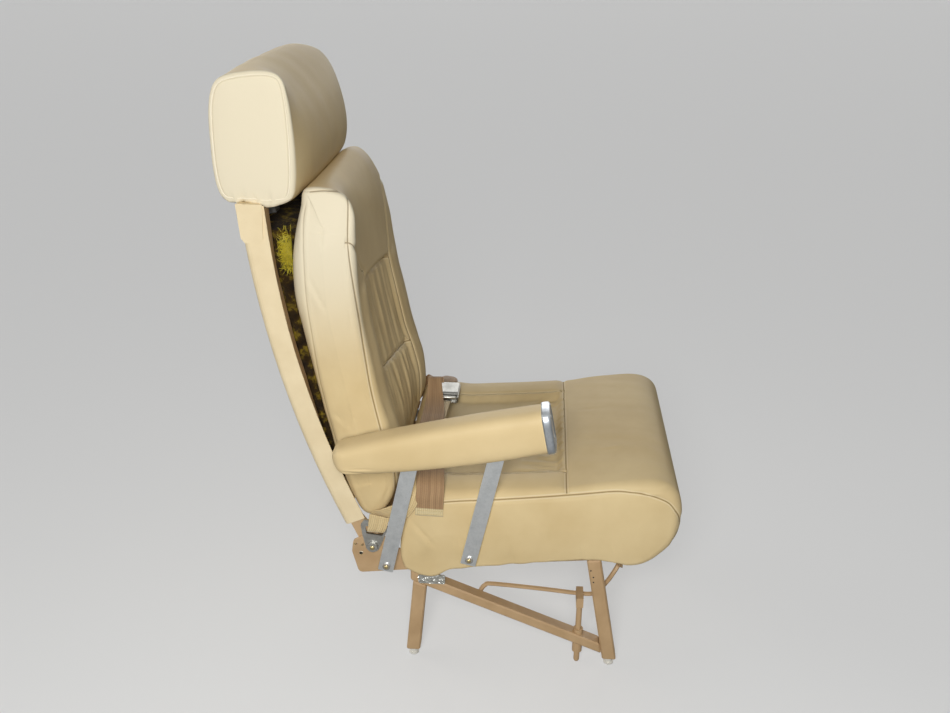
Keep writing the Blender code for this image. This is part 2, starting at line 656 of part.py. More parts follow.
def build_back_arm(side, sign):
    """Plate arm from the recline pivot up the inside of the shell's flange."""
    x1 = sign * (SHELL_HALF - SHELL_T - GAP)
    x0 = x1 - sign * ARM_T
    eye = [(RECLINE_Y + ARM_EYE_R * cos(a), RECLINE_Z + ARM_EYE_R * sin(a))
           for a in (radians(d) for d in range(125, 356, 23))]
    low, high = 0.05, 0.36
    spine = [shell_point(t, SHELL_CORNER + 2 * GAP) for t in (low, 0.15, 0.25, high)]
    front = [shell_point(t, 0.028) for t in (high, 0.25, 0.15, low + 0.01)]
    arm = add_piece(side + "_back_arm", prism(eye + spine + front, x0, x1), "paint", "backrest")
    cut(arm, rod((x0 - sign * 0.01, RECLINE_Y, RECLINE_Z), (x1 + sign * 0.01, RECLINE_Y, RECLINE_Z),
                 BOLT_R + BOLT_CLEAR, 18), "backrest")


def build_back_cushion():
    def lift(y, z):
        return (-min(max((z - 0.34) / 0.08, 0.0), 1.0), 0.0) if y < 0.36 + 0.18 * (z - 0.28) else (0.0, 0.0)

    bm = crowned(smooth_loop(BACK_SIDE, 2), BACK_HALF, 0.010, BACK_CROWN, lift)
    for vert in bm.verts:
        rise = min(max((vert.co.z - 0.72) / 0.11, 0.0), 1.0)
        vert.co.x *= 1 - 0.10 * rise * rise
    add_piece("back_cushion", bm, "leather", "backrest", smooth=True)


def build_padding():
    """Loose batting that fills the space between the cushion and the shell."""
    front = sorted(((y + GAP, z) for y, z in smooth_loop(BACK_SIDE, 2)
                    if PADDING_BOTTOM < z < PADDING_TOP and y > 0.40 + 0.18 * (z - 0.28)), key=lambda p: p[1])
    rear = [(shell_rear_y(z, SHELL_T + GAP * 2), z) for _, z in front]
    padding = add_piece("back_padding", prism(rear + front[::-1], -PADDING_HALF, PADDING_HALF), "batting",
                        "backrest")
    for sign in SIDES.values():
        half = GUIDE_W / 2 + 0.001
        cut(padding, box(sign * POST_X - half, sign * POST_X + half, 0.45, 0.65, 0.635, 0.80), "backrest")


# Headrest on two posts
def post_y(z):
    return pivots["headrest"].y + (z - pivots["headrest"].z) * tan(POST_LEAN)


def build_headrest():
    outline = rounded([(HEAD_FRONT, HEAD_BOTTOM), (HEAD_REAR, HEAD_BOTTOM), (HEAD_REAR + 0.002, 0.930),
                       (HEAD_REAR - 0.010, HEAD_TOP - 0.006), (HEAD_FRONT + 0.010, HEAD_TOP),
                       (HEAD_FRONT, 0.960)], 0.022, 4)
    middle_y, middle_z = (HEAD_FRONT + HEAD_REAR) / 2, (HEAD_BOTTOM + HEAD_TOP) / 2

    def lift(y, z):
        if z < HEAD_BOTTOM + 0.010:
            return (0.0, 0.0)
        out = Vector(((y - middle_y) / 0.06, (z - middle_z) / 0.09))
        return (out.x, max(out.y, 0.0)) if out.x < 0 else (out.x * 0.3, max(out.y, 0.0))

    pad = add_piece("headrest_pad", crowned(outline, HEAD_HALF, 0.012, HEAD_CROWN, lift), "leather", "headrest",
                    smooth=True)
    run = Vector((0, sin(POST_LEAN), cos(POST_LEAN)))
    for side, sign in SIDES.items():
        x = sign * POST_X
        top = Vector((x, post_y(0.880), 0.880))
        bottom = Vector((x, post_y(0.655), 0.655))
        cut(pad, rod(bottom, top + run * GAP, POST_R + GAP, 16), "headrest")
        add_piece(side + "_headrest_post", rod(bottom, top, POST_R, 16), "steel", "headrest", smooth=True)
        low, high = 0.642, 0.642 + GUIDE_LEN
        block = [(post_y(low) - 0.0095, low), (post_y(high) - 0.0095, high)]
        block += [(shell_rear_y(z, SHELL_T + GAP), z) for z in (high, (low + high) / 2, low)]
        guide = add_piece(side + "_post_guide", prism(block, x - GUIDE_W / 2, x + GUIDE_W / 2), "aluminium", "backrest")
        cut(guide, rod(bottom - run * 0.05, top, POST_R + POST_CLEAR, 20), "backrest")
        build_headrest_tab(side, sign)


def build_headrest_tab(side, sign):
    """Plate that reaches from under the pad down the outside of the shell's flange."""
    z0, z1 = HEAD_BOTTOM - GAP - TAB_T, HEAD_BOTTOM - GAP
    x0 = sign * (SHELL_HALF + GAP)
    x1 = x0 + sign * TAB_T
    low = z1 - TAB_DROP
    outline = [(0.5570, z1), (0.5975, z1), (0.5925, low + 0.008), (0.5865, low), (0.5660, low), (0.5590, low + 0.008)]
    tab = add_piece(side + "_headrest_tab", prism(outline, x0, x1), "leather", "headrest")
    cut(tab, box(sign * 0.180, x0 + sign * TAB_T / 2, 0.5600, 0.5960, z0, z1), "headrest", "UNION")


# Armrest: two parallel links, a core plate, the pad and its end cap
def link_outline(lower, upper):
    """Strap with a square end below its lower pin and a round end about the upper one."""
    across = Vector((cos(LINK_LEAN), sin(LINK_LEAN)))
    down = Vector((sin(LINK_LEAN), -cos(LINK_LEAN)))
    half, corner = LINK_W / 2, LINK_CORNER
    foot = [(-half, LINK_TOE - corner), (corner - half, LINK_TOE), (half - corner, LINK_TOE), (half, LINK_TOE - corner)]
    out = [tuple(Vector(lower) + across * a + down * b) for a, b in foot]
    for k in range(7):
        a = LINK_LEAN + pi * k / 6
        out.append((upper[0] + half * cos(a), upper[1] + half * sin(a)))
    return out


def build_links():
    outer = LINK_X - LINK_T
    for name, lower, upper in (("rear_link", LINK_REAR, UPPER_REAR), ("front_link", LINK_FRONT, UPPER_FRONT)):
        strap = add_piece("armrest_" + name, prism(link_outline(lower, upper), LINK_X, outer), "aluminium", name)
        for centre, radius in ((lower, PIN_R + GAP), (upper, PIN_R + 2 * GAP)):
            cut(strap, rod((LINK_X + 0.01, *centre), (outer - 0.01, *centre), radius, 16), name)
        seat_face = -PLATE_OUTER if name == "rear_link" else -FRAME_HALF
        root = seat_face + BOLT_REACH
        steps = [(0, PIN_HEAD_R - 0.001), (0.001, PIN_HEAD_R), (PIN_HEAD_H, PIN_HEAD_R), (PIN_HEAD_H, PIN_R),
                 (PIN_HEAD_H + GAP + LINK_T + GAP, PIN_R), (PIN_HEAD_H + GAP + LINK_T + GAP, PIN_HEAD_R),
                 (seat_face - GAP - (outer - GAP - PIN_HEAD_H), PIN_HEAD_R),
                 (seat_face - GAP - (outer - GAP - PIN_HEAD_H), PIN_R), (root - (outer - GAP - PIN_HEAD_H), PIN_R)]
        add_piece(name + "_bolt", turned((outer - GAP - PIN_HEAD_H, *lower), (1, 0, 0), steps), "steel")
        steps = [(0, PIN_HEAD_R), (PIN_HEAD_H, PIN_HEAD_R), (PIN_HEAD_H, PIN_R),
                 (PIN_HEAD_H + GAP + LINK_T + GAP + CORE_T * 0.75, PIN_R)]
        add_piece(name + "_upper_pin", turned((LINK_X + GAP + PIN_HEAD_H, *upper), (-1, 0, 0), steps), "steel",
                  "armrest")


def pad_point(along, up):
    """Point of the armrest in its own axes: along from its front end rearwards, up across it."""
    front = Vector((PAD_FRONT_Y, 0.4860))
    axis = Vector((cos(PAD_SLOPE), -sin(PAD_SLOPE)))
    rise = Vector((sin(PAD_SLOPE), cos(PAD_SLOPE)))
    return tuple(front + axis * along + rise * up)


def build_armrest():
    length = (PAD_REAR_Y - PAD_FRONT_Y) / cos(PAD_SLOPE)
    inner = LINK_X - LINK_T - GAP
    core_outer = inner - CORE_T
    pad_inner = core_outer - GAP
    pad_outer = pad_inner - PAD_W
    core = rounded([pad_point(0.002, -0.020), pad_point(length - 0.030, -0.014), pad_point(length - 0.030, 0.012),
                    pad_point(0.002, 0.020)], 0.006, 3)
    plate = add_piece("armrest_core", prism(core, inner, core_outer), "aluminium", "armrest")
    for upper in (UPPER_REAR, UPPER_FRONT):
        cut(plate, rod((inner + 0.01, *upper), (inner - CORE_T * 0.75 - GAP, *upper), PIN_R + GAP, 12), "armrest")
    sections = []
    for along, low, high, narrow in ((0, 0.032, CAP_HALF, 0), (0.25, 0.036, 0.031, 0), (0.5, 0.034, 0.0285, 0),
                                     (0.75, 0.029, 0.0255, 0), (0.93, 0.0225, 0.020, 0.002),
                                     (0.98, 0.017, 0.015, 0.008), (1.0, 0.008, 0.008, 0.014)):
        section = rounded([(pad_inner, -low), (pad_outer + narrow, -low), (pad_outer + narrow, high),
                           (pad_inner, high)], PAD_CORNER - narrow * 0.8, 4)
        sections.append([(x, *pad_point(along * length, up)) for x, up in section])
    add_piece("armrest_pad", loft(sections), "leather", "armrest", smooth=True)
    cap = rounded([(pad_inner, -CAP_HALF), (pad_outer, -CAP_HALF), (pad_outer, CAP_HALF), (pad_inner, CAP_HALF)],
                  PAD_CORNER, 4)
    front = [(x, *pad_point(-GAP, up)) for x, up in cap]
    back = [(x, *pad_point(-GAP - CAP_T, up)) for x, up in cap]
    add_piece("armrest_end_cap", loft([front, back]), "aluminium", "armrest", edge=0.002)


# Seat lock
def build_seat_lock():
    grip_y, grip_z = -0.012, 0.192
    side = [(-RAIL_INNER - 0.014, *BAIL_PIVOT), (-BAIL_X - 0.004, *BAIL_PIVOT), (-BAIL_X, 0.226, 0.126),
            (-BAIL_X, 0.219, 0.1355), (-BAIL_X, 0.205, 0.1385), (-BAIL_X, 0.120, 0.1330), (-BAIL_X, PLUNGER_Y, 0.1275),
            (-BAIL_X, 0.030, 0.1300), (-BAIL_X, 0.012, 0.152), (-BAIL_X, 0.000, 0.174), (-BAIL_X + 0.006, -0.008, 0.188),
            (-BAIL_X + 0.022, grip_y, grip_z)]
    points = side + [(-x, y, z) for x, y, z in reversed(side)]
    route = smooth_path(points, 3)
    curve = bpy.data.curves.new("bail_handle", "CURVE")
    curve.dimensions = "3D"
    curve.bevel_depth = BAIL_R
    curve.bevel_resolution = 1
    curve.use_fill_caps = True
    spline = curve.splines.new("POLY")
    spline.points.add(len(route) - 1)
    for point, place in zip(spline.points, route):
        point.co = (*(place - pivots["bail"]), 1.0)
    curve.materials.append(make_material("bail_handle", "paint"))
    link_object("bail_handle", curve, "bail")
    for side, sign in SIDES.items():
        x = sign * FRAME_MID
        boss = turned((x, PLUNGER_Y, 0.022), (0, 0, 1), [(0, BOSS_R - 0.001), (0.001, BOSS_R), (0.0475, BOSS_R)], 20)
        bush = add_piece(side + "_plunger_boss", boss, "paint", smooth=True)
        cut(bush, rod((x, PLUNGER_Y, 0.0), (x, PLUNGER_Y, 0.12), PLUNGER_R + POST_CLEAR, 16))
        pin = turned((x, PLUNGER_Y, PLUNGER_TIP_Z), (0, 0, 1),
                     [(0, PLUNGER_R - 0.0015), (0.003, PLUNGER_R), (0.128, PLUNGER_R)], 16)
        body = side + "_lock_pin"
        plunger = add_piece(side + "_plunger", pin, "steel", body)
        half, height = HEAD_BLOCK[0] / 2, HEAD_BLOCK[1]
        head = box(sign * (FRAME_MID + 0.008), sign * (BAIL_X - 0.009), PLUNGER_Y - half, PLUNGER_Y + half,
                   0.117, 0.117 + height)
        cut(plunger, head, body, "UNION")
        slot = rounded([(PLUNGER_Y - 0.02, 0.1225), (PLUNGER_Y + 0.02, 0.1225), (PLUNGER_Y + 0.02, 0.1325),
                        (PLUNGER_Y - 0.02, 0.1325)], 0.0001, 1)
        cut(plunger, prism(slot, sign * (BAIL_X + 0.0055), sign * (BAIL_X - 0.0055)), body)


# Recline lock: a gas lock between the front cross tube and the crank
def build_recline_lock():
    y_end = 0.150
    collar = LOCK_Z
    cylinder = turned((LOCK_X, y_end, collar), (0, 1, 0),
                      [(0, LOCK_R - 0.002), (0.002, LOCK_R), (LOCK_LEN - 0.012, LOCK_R), (LOCK_LEN - 0.008, LOCK_R - 0.004),
                       (LOCK_LEN, LOCK_R - 0.004)], 20)
    body = add_piece("lock_cylinder", cylinder, "dark", smooth=True)
    cut(body, rod((LOCK_X, y_end + 0.030, collar), (LOCK_X, y_end + LOCK_LEN + 0.01, collar), LOCK_ROD_R + POST_CLEAR, 16))
    z1 = (rail_bottom(0.050) + rail_top(0.050)) / 2 - CROSS_R - GAP
    bracket = [(0.040, z1), (0.060, z1), (y_end + 0.016, collar + LOCK_R - 0.001), (y_end + 0.016, collar - 0.006),
               (y_end - GAP, collar - 0.010), (y_end - 0.012, collar - 0.006)]
    piece = add_piece("lock_bracket", prism(bracket, LOCK_X - 0.010, LOCK_X + 0.010), "paint", edge=0.001)
    cut(piece, rod((LOCK_X, y_end - GAP, collar), (LOCK_X, y_end + 0.05, collar), LOCK_R + GAP, 20))
    eye = CRANK_END.x
    base = eye - CRANK_END_R - 0.010
    shaft = rod((LOCK_X, eye - LOCK_ROD_LEN, collar), (LOCK_X, base + 0.002, collar), LOCK_ROD_R, 16)
    piece = add_piece("lock_rod", shaft, "steel", "lock_slide", smooth=True)
    fork = box(LOCK_X - 0.010, LOCK_X + 0.010, base, eye + 0.006, collar - 0.007, collar + 0.007)
    cut(piece, fork, "lock_slide", "UNION")
    slot = CRANK_T / 2 + 0.0008
    cut(piece, box(LOCK_X - slot, LOCK_X + slot, eye - CRANK_END_R - 0.003, eye + 0.02, collar - 0.02, collar + 0.02),
        "lock_slide")
    cut(piece, rod((LOCK_X - 0.0095, eye, collar), (LOCK_X + 0.0095, eye, collar), LOCK_PIN_R, 12), "lock_slide", "UNION")


# Lap belt
def build_belt():
    for side, sign in SIDES.items():
        x0 = sign * (PLATE_OUTER + GAP)
        x1 = x0 + sign * SHACKLE_T
        eye = (RECLINE_Y, RECLINE_Z)
        horn = [(RECLINE_Y + SHACKLE_EYE_R * cos(a), RECLINE_Z + SHACKLE_EYE_R * sin(a)) for a in
                (radians(d) for d in range(200, 341, 20))]
        outline = horn + [(0.4235, 0.2500), (0.4260, 0.2700), (0.4200, 0.2800), (0.3860, 0.2760), (0.3800, 0.2660),
                          (0.3880, 0.2450)]
        shackle = add_piece(side + "_belt_shackle", prism(outline, x0, x1), "steel")
        cut(shackle, rod((x0 - sign * 0.01, *eye), (x1 + sign * 0.01, *eye), BOLT_R + BOLT_CLEAR, 16))
        slot = rounded([(0.3885, 0.2505), (0.4170, 0.2535), (0.4185, 0.2685), (0.3875, 0.2665)], 0.003, 3)
        cut(shackle, prism(slot, x0 - sign * 0.01, x1 + sign * 0.01))
        build_anchor_strap(side, sign, (x0 + x1) / 2)
    build_tail()
    build_buckle()


def strap_on_seat(x, y, lift=0.0):
    """Middle of a strap that lies on the rear of the seat cushion, clear of its highest line there."""
    top = max(seat_top(x, line) for line in (0.282, 0.300, 0.320, 0.340))
    return (x, y, top + STRAP_T / 2 + STRAP_CLEAR + lift)


def build_anchor_strap(side, sign, mid):
    """Webbing looped through the shackle, up the side and in between the two cushions."""
    spread = SHACKLE_T / 2 + STRAP_T / 2 + 0.0013
    outer, inner = mid + sign * spread, mid - sign * spread
    turn = sign * spread * 0.72
    path = [(outer, 0.3975, 0.2900), (outer, 0.4005, 0.2680), (mid + turn, 0.4022, 0.2605),
            (mid, 0.4030, 0.2568), (mid - turn, 0.4022, 0.2605), (inner, 0.4005, 0.2680),
            (inner, 0.3950, 0.2930), (inner, 0.3740, 0.3200), (sign * (CUSHION_HALF - 0.011), 0.3490, 0.3430)]
    if side == "right":
        path += [strap_on_seat(x, y) for x, y in (
            (-CUSHION_HALF + 0.023, 0.347), (-CUSHION_HALF + 0.080, 0.325), (-0.050, 0.324),
            (0.020, 0.324), (BUCKLE_X - 0.060, 0.323), (BUCKLE_X - 0.034, 0.322))]
    else:
        path += [strap_on_seat(CUSHION_HALF - inset_x, y) for inset_x, y in (
            (0.020, 0.341), (0.026, 0.329), (0.034, 0.323), (0.046, 0.322))]
    folded = [0.024] * 7 + [0.026, 0.028]
    widths = folded + [0.030, 0.040, STRAP_W, STRAP_W, STRAP_W, STRAP_W][:len(path) - len(folded)]
    add_piece(side + "_anchor_strap", ribbon(smooth_path(path, 3), widths, STRAP_T), "webbing")


def build_tail():
    """Free end of the lap strap, from the buckle across the seat and down its right side."""
    side_x = -CUSHION_HALF - STRAP_T / 2 - GAP
    path = [(side_x, 0.3090, 0.2980), (side_x, 0.3085, 0.3150), (side_x + 0.0002, 0.3080, 0.3300),
            (side_x + 0.0055, 0.3075, 0.3410)]
    path += [strap_on_seat(x, y, lift) for x, y, lift in (
        (-CUSHION_HALF + 0.014, 0.3070, 0.0030), (-CUSHION_HALF + 0.040, 0.3060, 0.0034),
        (-CUSHION_HALF + 0.080, 0.3050, 0.0034), (-0.100, 0.3050, 0.0034), (-0.030, 0.3050, 0.0034),
        (0.020, 0.3060, 0.0034), (BUCKLE_X - 0.070, 0.3090, 0.0034), (BUCKLE_X - 0.038, 0.3130, 0.0034))]
    add_piece("belt_tail", ribbon(smooth_path(path, 3), [STRAP_W, STRAP_W], STRAP_T), "webbing")


def build_buckle():
    floor = seat_top(BUCKLE_X, BUCKLE_Y) + 3 * GAP
    x0, x1 = BUCKLE_X - BUCKLE_L / 2, BUCKLE_X + BUCKLE_L / 2
    y0, y1 = BUCKLE_Y - BUCKLE_W / 2, BUCKLE_Y + BUCKLE_W / 2
    top = floor + BUCKLE_H
    body = add_piece("buckle_body", box(x0, x1, y0, y1, floor, top - BUCKLE_LID), "steel", edge=0.0015)
    mouth = STRAP_T / 2 + 0.0008
    strap_z = strap_on_seat(x1, BUCKLE_Y)[2]
    cut(body, box(x1 - 0.030, x1 + 0.01, y0 + 0.0035, y1 - 0.0035, strap_z - mouth, strap_z + mouth))
    cut(body, box(x0 - 0.01, x0 + 0.008, y0 + 0.0035, y1 - 0.0035, floor + 0.0006, top - BUCKLE_LID - 0.002))
    lid = [(x0 + 0.012, top), (x0 + 0.006, top - 0.002), (x0 + 0.006, top - BUCKLE_LID + GAP),
           (x1, top - BUCKLE_LID + GAP), (x1, top - 0.003), (x1 - 0.006, top)]
    bm = loft([[(x, y, z) for x, z in lid] for y in (y0 + 0.001, y1 - 0.001)])
    add_piece("buckle_lever", bm, "aluminium", "buckle_lever", edge=0.001)
    blade = box(x1 - 0.028, x1 + 0.012, BUCKLE_Y - 0.0205, BUCKLE_Y + 0.0205, strap_z - STRAP_T / 2, strap_z + STRAP_T / 2)
    add_piece("belt_tongue", blade, "steel", edge=0.0006)


build_under_frame()
build_side_plates()
build_pan()
build_seat_cushion()
build_backrest()
build_back_cushion()
build_padding()
build_headrest()
build_links()
build_armrest()
build_seat_lock()
build_recline_lock()
build_belt()
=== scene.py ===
"""Looks of the aircraft passenger seat: leather covers, belt webbing and metal finishes on its frame."""
import json

import bmesh
import bpy
import numpy as np
from mathutils import Matrix, Vector


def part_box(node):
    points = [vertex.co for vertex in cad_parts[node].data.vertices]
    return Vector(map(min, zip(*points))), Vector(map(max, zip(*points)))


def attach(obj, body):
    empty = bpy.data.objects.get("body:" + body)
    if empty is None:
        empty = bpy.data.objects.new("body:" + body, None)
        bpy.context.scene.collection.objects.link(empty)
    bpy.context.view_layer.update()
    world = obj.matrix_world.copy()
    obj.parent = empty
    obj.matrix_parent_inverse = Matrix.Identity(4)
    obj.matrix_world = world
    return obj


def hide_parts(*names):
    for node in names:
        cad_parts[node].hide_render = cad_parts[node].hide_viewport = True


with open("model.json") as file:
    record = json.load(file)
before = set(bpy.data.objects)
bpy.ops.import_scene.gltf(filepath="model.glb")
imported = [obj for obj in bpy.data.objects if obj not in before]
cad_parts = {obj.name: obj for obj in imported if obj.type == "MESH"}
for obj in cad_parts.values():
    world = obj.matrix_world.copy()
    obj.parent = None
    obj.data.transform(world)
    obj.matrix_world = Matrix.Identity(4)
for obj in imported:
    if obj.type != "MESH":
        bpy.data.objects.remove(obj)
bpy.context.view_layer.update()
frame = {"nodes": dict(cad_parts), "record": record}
NODES = frame["nodes"]

STUD_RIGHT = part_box("right_front_foot_stud")
STUD_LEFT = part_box("left_front_foot_stud")
# The seat's own origin: its centre plane, the line of its front feet, and the floor
ORIGIN = np.array([(STUD_RIGHT[0][0] + STUD_LEFT[1][0]) / 2, (STUD_RIGHT[0][1] + STUD_RIGHT[1][1]) / 2, 0.0])


# Camera and light
IMAGE_W = 950
FOCAL_PX = 1043.0
SENSOR_MM = 36.0
CAMERA_AT = np.array([-1.6978, 0.1497, 1.1974])      # from the seat's own origin
PITCH, YAW, ROLL = np.radians([22.708, 3.499, 0.77])


def place_camera():
    """Camera at the photograph's viewpoint: pitch down, yaw from +X towards +Y, and a small roll."""
    ahead = np.array([np.cos(PITCH) * np.cos(YAW), np.cos(PITCH) * np.sin(YAW), -np.sin(PITCH)])
    right = np.array([np.sin(YAW), -np.cos(YAW), 0.0])
    up = np.cross(right, ahead)
    right, up = right * np.cos(ROLL) + up * np.sin(ROLL), up * np.cos(ROLL) - right * np.sin(ROLL)
    data = bpy.data.cameras.new("photo_view")
    data.sensor_width = SENSOR_MM
    data.lens = SENSOR_MM * FOCAL_PX / IMAGE_W
    data.clip_start = 0.05
    data.clip_end = 50.0
    camera = bpy.data.objects.new("photo_view", data)
    bpy.context.scene.collection.objects.link(camera)
    turn = Matrix([[right[i], up[i], -ahead[i]] for i in range(3)]).to_4x4()
    camera.matrix_world = Matrix.Translation(Vector(CAMERA_AT + ORIGIN)) @ turn
    bpy.context.scene.camera = camera


def add_sun(name, azimuth, elevation, strength, spread):
    """Soft distant lamp: azimuth 0 shines along +Y and 90 along -X, and spread is its width in degrees."""
    data = bpy.data.lights.new(name, "SUN")
    data.energy = strength
    data.angle = np.radians(spread)
    lamp = bpy.data.objects.new(name, data)
    a, e = np.radians([azimuth, elevation])
    towards = Vector((np.sin(a) * np.cos(e), -np.cos(a) * np.cos(e), np.sin(e)))
    lamp.rotation_mode = "QUATERNION"
    lamp.rotation_quaternion = towards.to_track_quat("Z", "Y")
    bpy.context.scene.collection.objects.link(lamp)


def add_lamp(name, at, towards, power, width):
    """Round soft lamp, a width in metres across, from one place of the seat's space towards another."""
    data = bpy.data.lights.new(name, "AREA")
    data.shape = "DISK"
    data.size = width
    data.energy = power
    lamp = bpy.data.objects.new(name, data)
    back = Vector(at) - Vector(towards)
    turn = back.to_track_quat("Z", "Y").to_matrix().to_4x4()
    lamp.matrix_world = Matrix.Translation(Vector(np.array(at) + ORIGIN)) @ turn
    lamp.visible_camera = False
    bpy.context.scene.collection.objects.link(lamp)


def linear(code):
    """Linear red, green, blue and alpha of an sRGB hex colour."""
    level = np.array([int(code[k:k + 2], 16) for k in (0, 2, 4)]) / 255
    return (*np.where(level > 0.04045, ((level + 0.055) / 1.055) ** 2.4, level / 12.92), 1.0)


def add(tree, kind, inputs=None, out=0, stops=(), ease=False, **settings):
    """Adds a shader node with its settings and gives one of its outputs, or the node where it has none.

    An input is a value, or an output socket to link from.  Stops make a colour ramp of (position, hex colour
    or grey level) pairs.
    """
    node = tree.nodes.new("ShaderNode" + kind)
    for key, value in settings.items():
        setattr(node, key, value)
    for key, value in (inputs or {}).items():
        if isinstance(value, bpy.types.NodeSocket):
            tree.links.new(value, node.inputs[key])
        else:
            node.inputs[key].default_value = value
    if stops:
        node.color_ramp.interpolation = "EASE" if ease else "LINEAR"
        elements = node.color_ramp.elements
        while len(elements) < len(stops):
            elements.new(0.5)
        for element, (position, colour) in zip(elements, stops):
            element.position = position
            element.color = linear(colour) if isinstance(colour, str) else (colour, colour, colour, 1.0)
    return node.outputs[out] if node.outputs else node


def new_material(name):
    """New material and its empty node tree."""
    material = bpy.data.materials.new(name)
    material.use_nodes = True
    material.node_tree.nodes.clear()
    return material, material.node_tree


def surface(tree, inputs):
    """Puts a Principled shader with these inputs on the material's output."""
    add(tree, "OutputMaterial", {"Surface": add(tree, "BsdfPrincipled", inputs)})


def object_point(tree, scale=(1.0, 1.0, 1.0)):
    """Place on the piece in metres, stretched by the scale."""
    return add(tree, "Mapping", {"Vector": add(tree, "TexCoord", out="Object"), "Scale": scale})


FLOOR_HALF = 30.0


def set_stage():
    """Plain pale floor and surroundings, a soft key from the camera's side and weak fills elsewhere."""
    mesh = bpy.data.meshes.new("floor")
    corners = [(x * FLOOR_HALF, y * FLOOR_HALF, 0) for x, y in ((-1, -1), (1, -1), (1, 1), (-1, 1))]
    mesh.from_pydata(corners, [], [(0, 1, 2, 3)])
    floor = bpy.data.objects.new("floor", mesh)
    bpy.context.scene.collection.objects.link(floor)
    material, tree = new_material("matt_floor_paint")
    # The floor's own paleness where it is seen; it adds no light to the seat
    looked_at = add(tree, "LightPath", out="Is Camera Ray")
    glow = add(tree, "Math", {0: looked_at, 1: 0.38}, operation="MULTIPLY")
    surface(tree, {"Base Color": linear("A8A8A6"), "Roughness": 0.9, "Specular IOR Level": 0.1,
                   "Emission Color": linear("FFFFFF"), "Emission Strength": glow})
    mesh.materials.append(material)
    world = bpy.data.worlds.new("studio")
    bpy.context.scene.world = world
    world.use_nodes = True
    tree = world.node_tree
    tree.nodes.clear()
    rays = add(tree, "LightPath").node.outputs
    seen = add(tree, "Math", {0: rays["Is Camera Ray"], 1: rays["Is Glossy Ray"]}, operation="MAXIMUM")
    lit = add(tree, "Background", {"Color": linear("FFFFFF"), "Strength": 0.08})
    shown = add(tree, "Background", {"Color": linear("CFCFCD"), "Strength": 1.0})
    add(tree, "OutputWorld", {"Surface": add(tree, "MixShader", {0: seen, 1: lit, 2: shown})})
    add_lamp("key", (-2.10, 0.25, 1.40), (0.0, 0.28, 0.50), 40.5, 0.70)
    add_sun("front_fill", -14, 15, 0.05, 60)
    add_sun("far_fill", 92, 9, 1.5, 60)
    add_sun("rear_fill", 168, 10, 1.2, 60)
    bpy.context.scene.view_settings.view_transform = "Standard"


# Materials
SEAM_KINDS = ("boxing_seam", "panel_seam", "cross_seam")
SEAM_REACH = 0.008          # metres on each side of a seam's line
PUCKER_RATE = 1047.0        # radians per metre along a seam: a pucker every 6 mm
CLOUDY = {"Detail": 4.0, "Roughness": 0.55}


def turned_seams(tree):
    """Height, painted shade along the line and a painted highlight on the rolled edge of turned seams, read
    from the piece's seam attributes.

    An attribute holds the signed distance from the thread line in metres, how much of a seam there is, and
    the distance along it.  The cover dips at the line, rolls up 2 mm beside it, and puckers along it.
    """
    height, shade, pale = 0.0, 0.0, 0.0
    for kind in SEAM_KINDS:
        place = add(tree, "Attribute", out="Vector", attribute_name=kind)
        parts = add(tree, "SeparateXYZ", {"Vector": place}).node.outputs
        share = parts["Y"]
        gap = add(tree, "Math", {0: parts["X"]}, operation="ABSOLUTE")
        away = add(tree, "Math", {0: gap, 1: 1 / SEAM_REACH}, operation="MULTIPLY")
        roll = add(tree, "ValToRGB", {"Fac": away}, ease=True,
                   stops=((0.0, 0.20), (0.10, 0.72), (0.26, 1.0), (0.80, 0.80)))
        rise = add(tree, "Math", {0: roll, 1: 0.80}, operation="SUBTRACT")
        turn = add(tree, "Math", {0: parts["Z"], 1: PUCKER_RATE}, operation="MULTIPLY")
        pucker = add(tree, "Math", {0: turn}, operation="SINE")
        near = add(tree, "ValToRGB", {"Fac": away}, stops=((0.05, 0.0), (0.25, 0.08), (0.7, 0.0)))
        rise = add(tree, "Math", {0: pucker, 1: near, 2: rise}, operation="MULTIPLY_ADD")
        height = add(tree, "Math", {0: rise, 1: share, 2: height}, operation="MULTIPLY_ADD")
        # Painted shade: a dark line along the seam, where its groove lies in shade
        line = add(tree, "ValToRGB", {"Fac": away}, ease=True, stops=((0.0, 0.80), (0.07, 0.50), (0.18, 0.0)))
        line = add(tree, "Math", {0: line, 1: share}, operation="MULTIPLY")
        shade = add(tree, "Math", {0: line, 1: shade}, operation="MAXIMUM")
        # Painted highlight: a pale strip 1 to 4 mm beside the line, on the rolled edge that catches the light
        edge = add(tree, "ValToRGB", {"Fac": away}, ease=True, stops=((0.14, 0.0), (0.26, 0.55), (0.50, 0.0)))
        edge = add(tree, "Math", {0: edge, 1: share}, operation="MULTIPLY")
        pale = add(tree, "Math", {0: edge, 1: pale}, operation="MAXIMUM")
    return height, shade, pale


